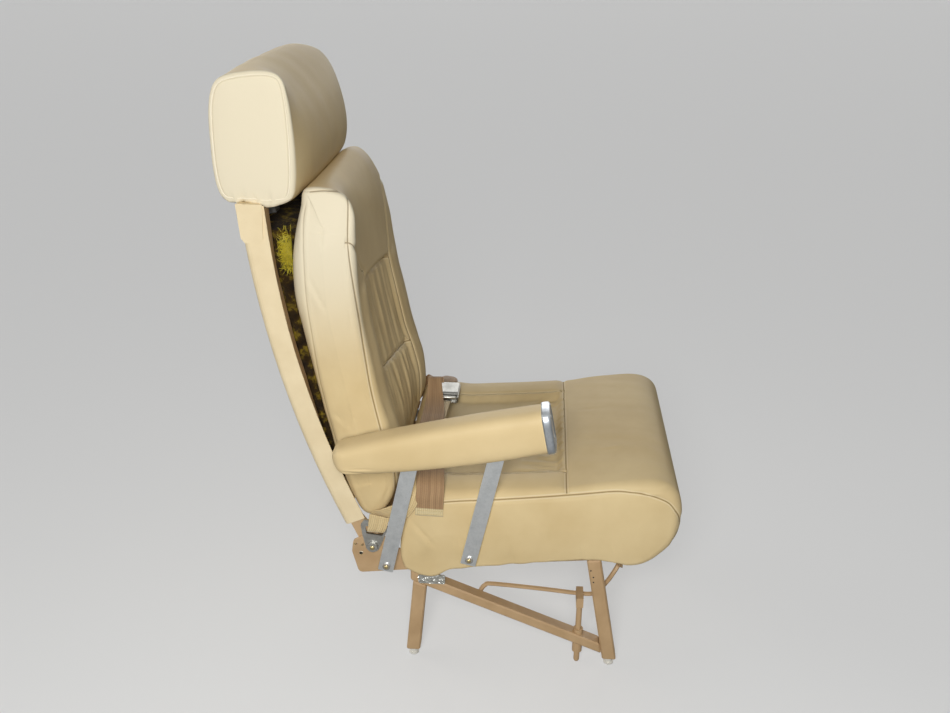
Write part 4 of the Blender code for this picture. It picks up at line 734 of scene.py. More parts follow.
def seat_cushion():
    """Cover with boxed sides, a front panel over the nose and an insert gathered at its cross seam."""
    form = Form(SEAT_SIDE, SEAT_HALF, SEAT_EDGES, SEAT_SPINE, 0.0042, near=(CROSS_SEAM, (0.080, 0.352)),
                near_v=(-INSERT_X, INSERT_X), middle=SEAT_MIDDLE, far=SEAT_MIDDLE)
    top = form.span((0.330, 0.334), (-0.085, 0.357), 0.014) * (form.side == 0)
    cross = form.u_at(*CROSS_SEAM)
    behind = top * step(cross - form.U, 0.002, 0.018)
    inside = 1 - step(np.abs(form.V), INSERT_X - 0.020, INSERT_X + 0.001)
    form.p[..., 2] += 0.007 * (1 - (form.x / SEAT_HALF) ** 2) * top
    form.p[..., 0] += np.sign(form.V) * 0.0035 * (1 - np.exp(-form.side / 0.022)) * step(form.z, 0.19, 0.24)
    # A corner of the boxing hangs below the right rail where the belt pulls it
    hang = bell(form.y - 0.311, 0.025) * step(-form.z, -0.222, -0.192) * step(-form.x, 0.2165, 0.2235)
    form.p[..., 2] -= 0.0145 * hang
    form.push(-0.0130 * behind * inside)
    form.push(0.0030 * bell(np.abs(form.V) - 0.194, 0.026) * behind)
    # Slack leather: gathers at the cross seam, pulls from the insert's corner, ripples beside its seams
    height = 0.0 * form.V
    rng = np.random.default_rng(5)
    for x in np.arange(-0.148, 0.155, 0.0270):
        x0, x1 = x + rng.uniform(-0.009, 0.009), x + rng.uniform(-0.014, 0.010)
        height += fold(form.V, form.U, (x0, cross - 0.003), (x1, cross - rng.uniform(0.020, 0.055)),
                       rng.uniform(0.0014, 0.0034), rng.uniform(0.0030, 0.0048), open_end=True)
    for x, run in PULLS:
        height += fold(form.V, form.U, (x * 1.04, cross - 0.004), (x * 0.90, cross - run), 0.0027, 0.0055)
    for side in (-1, 1):
        for run in (0.028, 0.061, 0.087, 0.121, 0.163, 0.198):
            height += fold(form.V, form.U, (side * (INSERT_X - 0.001), cross - run),
                           (side * (INSERT_X - 0.045), cross - run - 0.030), 0.0011, 0.0045, open_end=True)
    height *= top
    front = top * step(form.U - cross, 0.0, 0.03)
    height += 0.00030 * front * waves(form.V + 0.25 * form.U, 5, 0.030, 0.075, 6)
    height += front * fold(form.x, form.y, (-0.111, 0.034), (-0.107, -0.006), 0.0011, 0.0045)
    height += front * fold(form.x, form.y, (0.060, 0.070), (0.050, 0.010), 0.0008, 0.0060)
    height += 0.0006 * behind * inside * waves(form.V * 0.8 + form.U, 8, 0.045, 0.11, 5)
    # Boxing: loose below, with the fold that runs on from its seam over the nose
    height += form.beside * fold(form.y, form.z, (-0.010, 0.3515), (-0.082, 0.3645), 0.0014, 0.0035)
    height += 0.0007 * form.beside * step(form.z, 0.262, 0.205) * waves(form.y, 6, 0.022, 0.060)
    for y in (0.006, 0.052, 0.171, 0.262):
        height += form.beside * fold(form.y, form.z, (y, 0.205), (y + 0.012, 0.262), 0.0010, 0.0060)
    height += form.beside * fold(form.y, form.z, (0.345, 0.290), (0.296, 0.232), 0.0016, 0.0065)
    form.push(height)
    boxing = signed_gap(form.y, form.z, smooth(BOXING_LINE, False, 6))
    ends = step(form.y, -0.098, -0.092) + step(form.z, 0.296, 0.302)
    form.seam("boxing_seam", boxing, form.beside * np.clip(ends, 0, 1) * (form.y < 0.331), 0.0016)
    panel_edges = either(form.V - INSERT_X, form.V + INSERT_X)
    form.seam("panel_seam", panel_edges, top * step(cross - form.U, -0.001, 0.001), 0.0030)
    full_width = form.span((0.14, 0.346), (0.04, 0.360)) * (np.abs(form.V) < 0.2235)
    form.seam("cross_seam", form.U - cross, full_width, 0.0026)
    # Painted shade inside the insert's near seam, where its recess lies in shade
    form.crease = 0.30 * top * bell(form.V + INSERT_X - 0.004, 0.004) * (form.U < cross)
    form.piece("seat_cover", LEATHER, "frame", "cream_leather", ["seat_cushion"])


# Back cushion
BACK_SIDE = [(0.462, 0.831), (0.499, 0.828), (0.507, 0.798), (0.516, 0.760), (0.522, 0.715),
             (0.522, 0.660), (0.514, 0.612), (0.503, 0.556), (0.490, 0.494), (0.475, 0.428),
             (0.458, 0.360), (0.4425, 0.3165), (0.4250, 0.2850), (0.4035, 0.2800), (0.3830, 0.2975),
             (0.3675, 0.3400), (0.3695, 0.395), (0.3795, 0.446), (0.3925, 0.495), (0.4035, 0.550),
             (0.4135, 0.605), (0.4195, 0.661), (0.4205, 0.709), (0.4180, 0.760), (0.4190, 0.797),
             (0.4320, 0.8215)]
BACK_MIDDLE = [(0.478, 0.826), (0.500, 0.822), (0.505, 0.798), (0.515, 0.760), *BACK_SIDE[4:15],
               (0.3660, 0.3400), (0.3670, 0.395), (0.3780, 0.446), (0.3915, 0.495), (0.4035, 0.550),
               (0.4145, 0.605), (0.4235, 0.661), (0.4300, 0.709), (0.4370, 0.754), (0.4470, 0.788),
               (0.4600, 0.812)]
BACK_EDGES = [(0.462, 0.831, 0.010), (0.499, 0.828, 0.014), (0.516, 0.760, 0.022), (0.514, 0.612, 0.026),
              (0.475, 0.428, 0.024), (0.4425, 0.3165, 0.018), (0.4035, 0.280, 0.014),
              (0.3675, 0.340, 0.016), (0.3795, 0.446, 0.018), (0.4135, 0.605, 0.018),
              (0.4180, 0.760, 0.018), (0.432, 0.8215, 0.012)]
BACK_SPINE = [(0.470, 0.775), (0.470, 0.66), (0.443, 0.50), (0.410, 0.345)]
BACK_HALF = 0.2140
SHOULDER_SEAM = [(-0.118, 0.658), (0.0, 0.645), (0.118, 0.627)]
LUMBAR_SEAM = [(-0.1285, 0.503), (0.0, 0.482), (0.1320, 0.459)]
NEAR_BOLSTER = [(-0.2150, 0.752), (-0.1900, 0.733), (-0.1620, 0.708), (-0.1380, 0.684), (-0.118, 0.658),
                (-0.1285, 0.503), (-0.1430, 0.300)]
FAR_BOLSTER = [(0.2150, 0.772), (0.1850, 0.752), (0.1560, 0.722), (0.1420, 0.691), (0.131, 0.660),
               (0.118, 0.627), (0.1320, 0.459), (0.1460, 0.300)]
BACK_FRONT_SEAM = [(0.3690, 0.318), (0.3695, 0.360), (0.3795, 0.395), (0.3915, 0.448), (0.4029, 0.501),
                   (0.4132, 0.574), (0.4240, 0.659), (0.4325, 0.740), (0.4325, 0.790), (0.4326, 0.8120),
                   (0.4385, 0.8210), (0.4500, 0.8250), (0.4700, 0.8258), (0.4900, 0.8235)]
BACK_REAR_SEAM = [(0.4900, 0.8235), (0.4985, 0.790), (0.5000, 0.751), (0.5005, 0.707), (0.4991, 0.652),
                  (0.4926, 0.585), (0.4857, 0.521), (0.470, 0.440), (0.452, 0.370), (0.436, 0.320)]
# Pleats of the insert: place across at the seam above, sideways lean to the seam below, and strength
UPPER_PLEATS = [(-0.090, -0.010, 0.7), (-0.052, -0.006, 0.9), (-0.014, 0.000, 1.2), (0.030, 0.006, 0.8),
                (0.070, 0.010, 1.3), (0.100, 0.012, 0.8)]
LOWER_PLEATS = [(-0.106, -0.008, 0.9), (-0.074, -0.008, 1.0), (-0.046, -0.002, 0.8), (-0.016, -0.002, 1.2),
                (0.014, 0.004, 0.9), (0.046, 0.004, 1.3), (0.078, 0.009, 1.4), (0.104, 0.009, 1.1)]


def pleats(across, fall, marks, width, height):
    """Soft pressed ridges down a panel, each beside a narrower valley, drawn out to nothing at both ends.

    fall runs from 0 at the seam above to 1 at the seam below; across holds the place over the panel.
    """
    total = 0.0 * across
    for k, (start, lean, strength) in enumerate(marks):
        middle = start + lean * fall + 0.0022 * np.sin(5.0 * fall + 1.7 * k)
        along_it = 0.75 + 0.25 * np.sin(7.0 * fall + 2.3 * k)
        valley = 0.8 * bell(across - middle - 1.7 * width, width * 0.75)
        total += strength * along_it * (bell(across - middle, width) - valley)
    return height * total * step(fall, 0.0, 0.07) * step(1 - fall, 0.0, 0.07)


def back_cushion():
    """Cover with boxed sides, a head panel, bolsters, and an insert pleated between two cross seams."""
    form = Form(BACK_SIDE, BACK_HALF, BACK_EDGES, BACK_SPINE, 0.0036, near_v=(-0.136, -0.124, 0.124, 0.138),
                near=((0.4165, 0.640), (0.389, 0.482)), middle=BACK_MIDDLE, far=BACK_MIDDLE)
    front = form.span((0.3675, 0.332), (0.434, 0.816)) * (form.side == 0)
    x, z = form.x.copy(), form.z.copy()
    near_line, far_line = (smooth(line, False, 8) for line in (NEAR_BOLSTER, FAR_BOLSTER))
    insert_left = np.interp(z, near_line[::-1, 1], near_line[::-1, 0])
    insert_right = np.interp(z, far_line[::-1, 1], far_line[::-1, 0])
    shoulder_z = np.interp(x, *np.array(SHOULDER_SEAM).T)
    lumbar_z = np.interp(x, *np.array(LUMBAR_SEAM).T)
    inside = step(x - insert_left, -0.003, 0.016) * step(insert_right - x, -0.003, 0.016)
    below = 1 - step(z, shoulder_z - 0.004, shoulder_z + 0.014)
    insert = front * inside * below
    form.p[..., 1] += 0.0105 * insert
    bolsters = bell(x - insert_left + 0.034, 0.022) + bell(x - insert_right - 0.034, 0.022)
    form.p[..., 1] -= 0.0035 * front * below * bolsters
    form.p[..., 0] += np.sign(form.V) * 0.0035 * (1 - np.exp(-form.side / 0.024))
    form.p[..., 0] *= 1 - 0.06 * step(form.z, 0.72, 0.83) ** 2
    # The far shoulder slopes more than the near one
    rise = step(form.z, 0.66, 0.83)
    form.p[..., 2] -= rise * (0.014 * step(form.x, 0.085, 0.205) + 0.002 * step(-form.x, 0.14, 0.205))
    form.p[..., 1] += rise * 0.008 * step(form.x, 0.085, 0.205)
    upper = np.clip((shoulder_z - z) / (shoulder_z - lumbar_z), 0, 1)
    lower = np.clip((lumbar_z - z) / (lumbar_z - 0.315), 0, 1)
    height = pleats(x, upper, UPPER_PLEATS, 0.0060, 0.0030) + pleats(x, lower, LOWER_PLEATS, 0.0046, 0.0036)
    height += 0.0007 * waves(x + 0.08 * z, 14, 0.025, 0.060, 5)
    height *= insert
    height += 0.0005 * front * (1 - inside * below) * waves(z + 0.4 * x, 13, 0.06, 0.16)
    side = form.beside
    height += 0.0006 * side * bell(form.z - 0.40, 0.09) * waves(form.z + 0.7 * form.y, 12, 0.04, 0.08)
    for start, end in (((0.388, 0.436), (0.436, 0.405)), ((0.380, 0.398), (0.426, 0.372)),
                       ((0.470, 0.470), (0.430, 0.440)), ((0.445, 0.335), (0.400, 0.352)),
                       ((0.498, 0.700), (0.470, 0.640)), ((0.374, 0.352), (0.392, 0.300))):
        height += side * fold(form.y, form.z, start, end, 0.0014, 0.0055)
    form.push(height)
    # The padding evens out the sides: their outward swell is averaged over 25 mm along the outline
    swell = sum(weight * np.roll(form.x, shift, axis=1) for weight, shift in zip(EVEN_OUT, range(-3, 4)))
    form.p[..., 0] = np.where(form.side > 0.002, swell, form.x)
    # The side stands proud of the rolled rear part, and the front seam has a rolled strip before it
    rear = signed_gap(form.y, form.z, smooth(BACK_REAR_SEAM, False, 6))
    face = signed_gap(form.y, form.z, smooth(BACK_FRONT_SEAM, False, 6))
    form.seam("boxing_seam", face, side, 0.0012)
    form.push(0.0010 * side * bell(np.abs(rear) - 0.004, 0.0030) * (form.z < 0.80))
    shown = step(0.815 - form.z, 0.0, 0.02) * step(form.z, 0.33, 0.40)
    form.seam("cross_seam", rear, side * shown * 0.45, 0.0014)
    panel = signed_gap(x, z, near_line)
    for line in (far_line, smooth(SHOULDER_SEAM, False, 4), smooth(LUMBAR_SEAM, False, 4)):
        other = signed_gap(x, z, line)
        panel = np.where(np.abs(other) < np.abs(panel), other, panel)
    sewn = form.span((0.3675, 0.332), (0.4180, 0.780)) * (form.side == 0) * (z > 0.335)
    form.seam("panel_seam", panel, sewn, 0.0030)
    form.piece("back_cover", LEATHER, "backrest", "cream_leather", ["back_cushion"])


# Headrest
HEAD_SIDE = [(0.580, 0.8050), (0.550, 0.8045), (0.528, 0.8065), (0.5150, 0.8160), (0.5095, 0.8430),
             (0.5080, 0.8850), (0.5090, 0.9250), (0.5120, 0.9620), (0.5180, 0.9870), (0.5330, 0.9970),
             (0.562, 0.9975), (0.594, 0.9925), (0.6140, 0.9840), (0.6250, 0.9640), (0.6298, 0.9300),
             (0.6300, 0.8700), (0.6255, 0.8280), (0.6125, 0.8085)]
HEAD_MIDDLE = [(0.580, 0.8060), (0.545, 0.8065), (0.516, 0.8090), (0.4990, 0.8240), (0.4925, 0.8550),
               (0.4945, 0.8850), (0.5045, 0.9250), (0.5205, 0.9560), (0.5420, 0.9810), (0.5660, 0.9950),
               (0.5880, 0.9990), (0.6060, 0.9930), (0.6190, 0.9790), (0.6275, 0.9600), (0.6310, 0.9280),
               (0.6305, 0.8700), (0.6250, 0.8280), (0.6120, 0.8090)]
HEAD_FAR = [(0.580, 0.8060), (0.550, 0.8060), (0.530, 0.8080), (0.5170, 0.8170), (0.5100, 0.8430),
            (0.5120, 0.8850), (0.5215, 0.9250), (0.5330, 0.9560), (0.5480, 0.9760), (0.5650, 0.9850),
            (0.5870, 0.9880), (0.6040, 0.9860), (0.6160, 0.9790), (0.6250, 0.9620), (0.6298, 0.9300),
            (0.6300, 0.8700), (0.6255, 0.8280), (0.6125, 0.8085)]
HEAD_EDGES = [(0.580, 0.805, 0.007), (0.5150, 0.816, 0.006), (0.5090, 0.900, 0.0055),
              (0.5180, 0.987, 0.005), (0.562, 0.9975, 0.005), (0.6140, 0.984, 0.005),
              (0.6300, 0.870, 0.005)]
HEAD_SPINE = [(0.568, 0.945), (0.569, 0.90), (0.568, 0.855)]
HEAD_HALF = 0.2125
# Folds that rise from the hem at the boxed ends: y at the hem, then y and z at the upper end
HEM_FOLDS = ((0.588, 0.583, 0.832), (0.566, 0.572, 0.824), (0.548, 0.545, 0.834), (0.602, 0.606, 0.826))


def headrest():
    """Cover crowned over its front and top, with boxed ends inside a fine welt and a lumpy hem below."""
    form = Form(HEAD_SIDE, HEAD_HALF, HEAD_EDGES, HEAD_SPINE, 0.0036, middle=HEAD_MIDDLE, far=HEAD_FAR)
    side = form.beside
    under = form.span((0.616, 0.812), (0.519, 0.812), 0.008)
    form.p[..., 0] += np.sign(form.V) * 0.0030 * (1 - np.exp(-form.side / 0.012)) * (form.side > 0)
    height = 0.0003 * side * waves(form.z + 0.6 * form.y, 23, 0.05, 0.11)
    height += 0.0005 * (1 - side) * (1 - under) * waves(form.V + 0.3 * form.U, 22, 0.06, 0.15, 5)
    for y0, y1, z1 in HEM_FOLDS:
        height += side * fold(form.y, form.z, (y0, 0.806), (y1, z1), 0.0018, 0.0045, open_end=True)
    form.push(height)
    # The cover is gathered below: its hem sags between the dents
    hem = step(0.820 - form.z, 0.0, 0.012)
    form.p[..., 2] -= hem * (0.0040 * bell(form.y - 0.550, 0.014) + 0.0015 * bell(form.y - 0.606, 0.010)
                             - 0.0035 * bell(form.y - 0.5835, 0.010)) * step(np.abs(form.x), 0.10, 0.19)
    form.p[..., 2] -= hem * 0.0012 * waves(form.x + 0.4 * form.y, 24, 0.03, 0.07)
    radius_end = form.half + form.R * (np.pi / 2 - 1)
    form.seam("boxing_seam", np.abs(form.V) - radius_end - 0.0020, 0.28 * side * (1 - under), 0.0008, 0.0030)
    form.piece("headrest_cover", LEATHER, "headrest", "cream_leather", ["headrest_pad"])
    for name, sign in (("right_headrest_welt", -1), ("left_headrest_welt", 1)):
        line = form.side_edge(sign).copy()
        line[:, 2] += 0.004 * step(0.815 - line[:, 2], 0.0, 0.006)
        welt(name, line, 0.0011, WELT_LEATHER, "headrest")


def welt(name, line, radius, material, body):
    """Round cord along a closed line beside the seat: circles in the planes of X and the line's normal."""
    line = np.stack([np.convolve(np.concatenate([part[-3:], part, part[:3]]), EVEN_OUT, "valid")
                     for part in line.T], axis=-1)
    ahead = np.roll(line, -1, axis=0) - np.roll(line, 1, axis=0)
    normal = unit(np.stack([0 * ahead[:, 0], ahead[:, 2], -ahead[:, 1]], axis=-1))
    angle = around(12)
    points = line[:, None] + radius * (np.sin(angle)[None, :, None] * normal[:, None]
                                       + np.cos(angle)[None, :, None] * np.array([1.0, 0.0, 0.0]))
    faces = grid_faces(len(line), angle.size, True, True)
    return make_piece(name, points.reshape(-1, 3), faces, material, body, "cream_leather")


# Armrest pad
ARM_FRONT = np.array([0.1275, 0.4876])
ARM_SLOPE = np.radians(11.3)
ARM_LENGTH = 0.335
ARM_INNER_X = -0.2464
ARM_WIDTH = 0.0586
# Share of the length, depth below the middle line, and height above it
ARM_SECTIONS = np.array([(0, 0.0355, 0.0355), (0.25, 0.0385, 0.0350), (0.5, 0.0372, 0.0320),
                         (0.75, 0.0320, 0.0280), (0.93, 0.0245, 0.0225)])


def arm_place(forwards, up):
    """(y, z) at a distance rearwards along the arm and a height above its middle line."""
    y = ARM_FRONT[0] + np.cos(ARM_SLOPE) * forwards + np.sin(ARM_SLOPE) * up
    z = ARM_FRONT[1] - np.sin(ARM_SLOPE) * forwards + np.cos(ARM_SLOPE) * up
    return y, z


def rounded_box(angle, power):
    """Superellipse |x|^n + |z|^n = 1, which has flat faces and round corners."""
    c, s = np.cos(angle), np.sin(angle)
    return np.sign(c) * np.abs(c) ** (2 / power), np.sign(s) * np.abs(s) ** (2 / power)


def armrest_cap():
    """Cast end cap: rounded-box rings along the arm, 11 mm deep, with a rolled edge and a dished face."""
    cx, cz = rounded_box(around(96), 4.2)
    rings = np.array([(0.0016, 0.90), (0.0016, 1.022), (-0.0010, 1.030), (-0.0070, 1.030), (-0.0095, 1.012),
                      (-0.0110, 0.975), (-0.0116, 0.925), (-0.0116, 0.860), (-0.0106, 0.830),
                      (-0.0104, 0.400)])
    back, scale = rings[:, :1], rings[:, 1:]
    x = ARM_INNER_X - ARM_WIDTH / 2 + ARM_WIDTH / 2 * scale * cx[None]
    y, z = arm_place(back, ARM_SECTIONS[0, 1] * scale * cz[None])
    ringed_piece("armrest_cap", capped(np.stack([x, y, z], axis=-1)), ALUMINIUM_CAP, "armrest",
                 "bright_aluminium", ["armrest_end_cap"])


def armrest():
    """Leather sleeve on a tapering core: rounded-box sections along the arm, closed round at its rear."""
    t = crowd(0.0, 1.0, 0.010, (1.0,), 0.004, 0.06)
    end = np.sqrt(np.clip(1 - (np.clip(t - 0.93, 0, 1) / 0.0702) ** 2, 0, 1))
    knots = smooth(ARM_SECTIONS, False, 12)
    low, high = (np.interp(t, knots[:, 0], knots[:, k]) * (0.06 + 0.94 * end) for k in (1, 2))
    cx, cz = rounded_box(around(144), 3.4)
    width = ARM_WIDTH / 2 * (0.35 + 0.65 * end)
    middle = ARM_INNER_X - ARM_WIDTH / 2 + (ARM_WIDTH / 2 - width) * 0.5
    x = middle[:, None] + width[:, None] * cx[None]
    up = np.where(cz > 0, high[:, None], low[:, None]) * cz[None]
    distance = t[:, None] * ARM_LENGTH + 0 * up
    # Wrinkles at the rear end, where the sleeve is drawn together below
    for start, run, depth in ((-0.026, 0.048, 0.0015), (-0.017, 0.060, 0.0013), (-0.009, 0.040, 0.0008)):
        wrinkle = fold(distance, up, (0.326, start * 0.4), (0.326 - run, start), depth, 0.0028)
        x = x + wrinkle * cx[None]
    y, z = arm_place(distance, up)
    ends = [(middle[k], *arm_place(distance[k, 0], 0.0)) for k in (0, -1)]
    piece = ringed_piece("armrest_sleeve", capped(np.stack([x, y, z], axis=-1), ends), ARM_LEATHER, "armrest",
                         "cream_leather", ["armrest_pad"])


# Belt webbing
def strap(name, path, widths, material, body, replaces=(), thickness=0.0022, hem=0.0, lies=None):
    """Woven strap: a flat rounded section carried along a smooth path, its width lying fore and aft.

    Point j of ring i is path(i) + across * width * cos(a_j) / 2 + up * thickness * sin(a_j) / 2, squared off.
    Where lies is given, it holds the width's direction at each point of the path.
    """
    line = smooth(path, False, 16)
    s = lengths(line)
    places = crowd(0.0, s[-1], 0.0025)
    knots = s[::16][:len(path)]
    line = along(line, places)
    run = unit(np.gradient(line, axis=0))
    across = np.tile([0.0, 1.0, 0.0], (len(line), 1))
    if lies:
        across = np.stack([np.interp(places, knots, part) for part in np.array(lies, float).T], axis=-1)
    across = unit(across - run * np.sum(run * across, axis=1)[:, None])
    up = np.cross(run, across)
    width = np.interp(places, knots, widths)
    angle = around(56)
    c = np.sign(np.cos(angle)) * np.abs(np.cos(angle)) ** 0.5
    q = np.sign(np.sin(angle)) * np.abs(np.sin(angle)) ** 0.8
    points = line[:, None] + across[:, None] * (width[:, None] / 2 * c[None])[..., None]
    thick = thickness / 2 * (1 + 0.10 * waves(places, 41, 0.01, 0.03))[:, None]
    points = points + up[:, None] * (thick * q[None])[..., None]
    points = capped(points, line[[0, -1]])
    distance = np.concatenate([places[:1], places, places[-1:]])
    widths_all = np.concatenate([width[:1], width, width[-1:]])
    sideways = widths_all[:, None] / 2 * c[None]
    uv = np.stack([np.repeat(distance[:, None], angle.size, axis=1), sideways], axis=-1)
    faded = (distance < hem)[:, None] * np.ones(angle.size)
    return ringed_piece(name, points, material, body, "tan_webbing", replaces, {"faded": faded.reshape(-1)},
                        uv.reshape(-1, 2))


ANCHOR_MID = 0.2231
ANCHOR_SPREAD = 0.0045
# The belt's free end, which hangs over the right side, and the stitches of its hem
TAIL_X = -0.2318
TAIL_END_Z = 0.2975
STITCH_LENGTH = 0.0030
STITCH_PITCH = 0.0042
STITCH_RADIUS = 0.00045


def anchor_loop(sign):
    """Fold of an anchor strap through its shackle, from the outer layer round to the inner one."""
    outer, inner = sign * (ANCHOR_MID + ANCHOR_SPREAD), sign * (ANCHOR_MID - ANCHOR_SPREAD)
    turn = sign * ANCHOR_SPREAD * 0.72
    middle = sign * ANCHOR_MID
    return [(outer, 0.3935, 0.2900), (outer, 0.3980, 0.2690), (middle + turn, 0.4018, 0.2605),
            (middle, 0.4030, 0.2568), (middle - turn, 0.4022, 0.2605), (inner, 0.3995, 0.2680)]


def lap_belt():
    """Anchor straps, the lap strap with its folded end at the buckle, and the sewn tail at the right side."""
    folded = [0.034, 0.031, 0.026, 0.026, 0.026, 0.029]
    # The right strap lies flat on the cushion's side, passes behind the rear link and turns over the edge
    right = [*anchor_loop(-1), (-0.2190, 0.3950, 0.2840), (-0.2235, 0.3820, 0.2895),
             (-0.2285, 0.3690, 0.2960), (-0.2330, 0.3570, 0.3055), (-0.2330, 0.3470, 0.3200),
             (-0.2270, 0.3420, 0.3370), (-0.2110, 0.3395, 0.3490), (-0.190, 0.336, 0.3530),
             (-0.150, 0.3285, 0.3530), (-0.050, 0.3285, 0.3555), (0.020, 0.3285, 0.3565),
             (0.070, 0.3270, 0.3555), (0.094, 0.3250, 0.3530)]
    lies = [(0, 1, 0)] * 6 + [(0, 1, 0.2), (0, 0.8, 0.6), (0, 0.6, 0.8), (0, 0.6, 0.7), (0, 0.9, 0.3)]
    lies += [(0, 1, 0)] * 8
    strap("lap_strap_right", right, folded + [0.030, 0.031, 0.033, 0.032, 0.032, 0.034, 0.036, 0.038, 0.042]
          + [0.044] * 4, CREAM_WEBBING, "frame", ["right_anchor_strap"], lies=lies)
    left = anchor_loop(1) + [(0.2186, 0.3950, 0.2930), (0.2186, 0.3740, 0.3200), (0.219, 0.3490, 0.3430),
                             (0.210, 0.341, 0.3490), (0.204, 0.329, 0.3505), (0.196, 0.323, 0.3510),
                             (0.184, 0.322, 0.3510)]
    widths = folded + [0.026, 0.026, 0.028, 0.030, 0.040, 0.046, 0.046]
    strap("lap_strap_left", left, widths, WEBBING, "frame", ["left_anchor_strap"])
    tail = [(TAIL_X, 0.3110, TAIL_END_Z), (TAIL_X, 0.3108, 0.3060), (TAIL_X, 0.3105, 0.3150),
            (TAIL_X + 0.0002, 0.3100, 0.3300), (TAIL_X + 0.0055, 0.3095, 0.3410),
            (-0.216, 0.3105, 0.3520), (-0.190, 0.3130, 0.3590),
            (-0.150, 0.3180, 0.3605), (-0.100, 0.3250, 0.3615), (-0.030, 0.3280, 0.3625),
            (0.020, 0.3290, 0.3640), (0.055, 0.3310, 0.3700), (0.078, 0.3330, 0.3815),
            (0.093, 0.3345, 0.3920), (0.1015, 0.3350, 0.3960), (0.1085, 0.3345, 0.3950),
            (0.1085, 0.3340, 0.3895), (0.1055, 0.3335, 0.3840)]
    widths = [0.046] * 9 + [0.044, 0.040, 0.034, 0.029, 0.026, 0.026, 0.028, 0.030, 0.030]
    strap("belt_tail_strap", tail, widths, WEBBING, "frame", ["belt_tail"], hem=0.0125)
    for row in (0.0030, 0.0098):
        stitch_row("tail_stitches_%d" % int(row * 1e4), TAIL_X - 0.0012, TAIL_END_Z + row)


def stitch_row(name, x, z):
    """Row of lock stitches along Y: each is a short capsule."""
    middles = np.arange(0.2905, 0.3305, STITCH_PITCH)
    angle = around(8)
    share = np.linspace(-1, 1, 7)
    radius = STITCH_RADIUS * np.sqrt(np.clip(1 - share ** 6, 0, 1))
    one = np.stack([radius[:, None] * np.cos(angle), STITCH_LENGTH / 2 * share[:, None] + 0 * angle,
                    radius[:, None] * np.sin(angle)], axis=-1).reshape(-1, 3)
    faces = grid_faces(share.size, angle.size, wrap_columns=True)
    points = np.concatenate([one + np.array([x, y, z]) for y in middles])
    every = np.concatenate([faces + k * len(one) for k in range(middles.size)])
    make_piece(name, points, every, THREAD, "frame", "tan_webbing")


# Shell, batting and small metal
LIP_X = 0.2183
LIP_LINE = [(0.5548, 0.800), (0.5530, 0.774), (0.5480, 0.7065), (0.5400, 0.659), (0.5260, 0.585),
            (0.5120, 0.5275), (0.5040, 0.492), (0.4910, 0.4406), (0.4840, 0.418)]
BATTING_SIDE = [(0.5870, 0.757), (0.5829, 0.715), (0.5741, 0.660), (0.5649, 0.612), (0.5522, 0.556),
                (0.5357, 0.494), (0.5150, 0.428), (0.4914, 0.362), (0.4790, 0.337), (0.4520, 0.337),
                (0.4587, 0.362), (0.4757, 0.428), (0.4907, 0.494), (0.5037, 0.556), (0.5147, 0.612),
                (0.5227, 0.660), (0.5237, 0.700), (0.5200, 0.738), (0.5160, 0.757), (0.5500, 0.762)]


def shell_lips():
    """Return edge of each shell flange: a 1.2 mm strip that turns 24 mm inwards along the flange's front."""
    line = smooth(LIP_LINE, False, 12)
    ahead = unit(np.gradient(line, axis=0))
    inwards = np.stack([-ahead[:, 1], ahead[:, 0]], axis=-1)
    inwards *= np.sign(inwards[:, :1])
    section = np.array([(LIP_X, 0.0), (0.1945, 0.0), (0.1940, 0.0006), (0.1945, 0.0012), (LIP_X, 0.0012)])
    taper = step(line[:, 1], 0.418, 0.455)
    for name, sign in (("right_shell_lip", -1), ("left_shell_lip", 1)):
        x = LIP_X - (LIP_X - section[:, 0])[None] * (0.1 + 0.9 * taper[:, None])
        yz = line[:, None] + inwards[:, None] * section[None, :, 1:2]
        rings = capped(np.concatenate([sign * x[..., None], yz], axis=-1))
        ringed_piece(name, rings, PAINT, "backrest", "tan_paint").data.shade_flat()


def batting():
    """Lumpy batting between cushion and shell, drawn near black as painted shade, and a bright tuft of loose
    fibres at its right edge.
    """
    edges = [(0.5870, 0.757, 0.006), (0.4790, 0.337, 0.006), (0.5160, 0.757, 0.006)]
    spine = [(0.545, 0.725), (0.530, 0.60), (0.500, 0.47), (0.475, 0.375)]
    form = Form(BATTING_SIDE, 0.1885, edges, spine, 0.0055)
    lumps = waves(form.z + 0.7 * form.x, 51, 0.015, 0.050) * waves(form.y * 1.5 - form.x, 52, 0.02, 0.06)
    form.push(-0.0022 + 0.0018 * np.clip(lumps, -1, 1))
    form.piece("shade_darkened_batting", SHADE_DARK_BATTING, "backrest", "yellow_batting", ["back_padding"])
    rng = np.random.default_rng(53)
    count, bends = 620, 7
    root = np.stack([-0.1900 + 0 * rng.random(count), rng.normal(0.5300, 0.0055, count),
                     rng.normal(0.7270, 0.0135, count)], axis=-1)
    heading = [-rng.uniform(0.2, 1.0, count), rng.normal(0, 0.55, count), rng.normal(0, 0.8, count)]
    heading = unit(np.stack(heading, axis=-1))
    curl = rng.normal(0, 0.35, (count, 3))
    share = np.linspace(0, 1, bends)
    reach = rng.uniform(0.006, 0.015, count)
    path = root[:, None] + reach[:, None, None] * (heading[:, None] * share[None, :, None]
                                                    + curl[:, None] * (share ** 2)[None, :, None])
    path[..., 0] = np.clip(path[..., 0], -0.2085, None)
    path[..., 1] = np.clip(path[..., 1], 0.5235, 0.5440)
    angle = around(3)
    radius = 0.00032 * np.sqrt(np.clip(1 - (2 * share - 1) ** 8, 0, 1))
    ring = np.stack([0 * angle, np.cos(angle), np.sin(angle)], axis=-1)
    points = path[:, :, None] + radius[None, :, None, None] * ring[None, None]
    faces = grid_faces(bends, 3, wrap_columns=True)
    every = (faces[None] + (np.arange(count) * bends * 3)[:, None, None]).reshape(-1, 4)
    make_piece("loose_batting_tuft", points.reshape(-1, 3), every, FLUFF, "backrest", "yellow_batting")


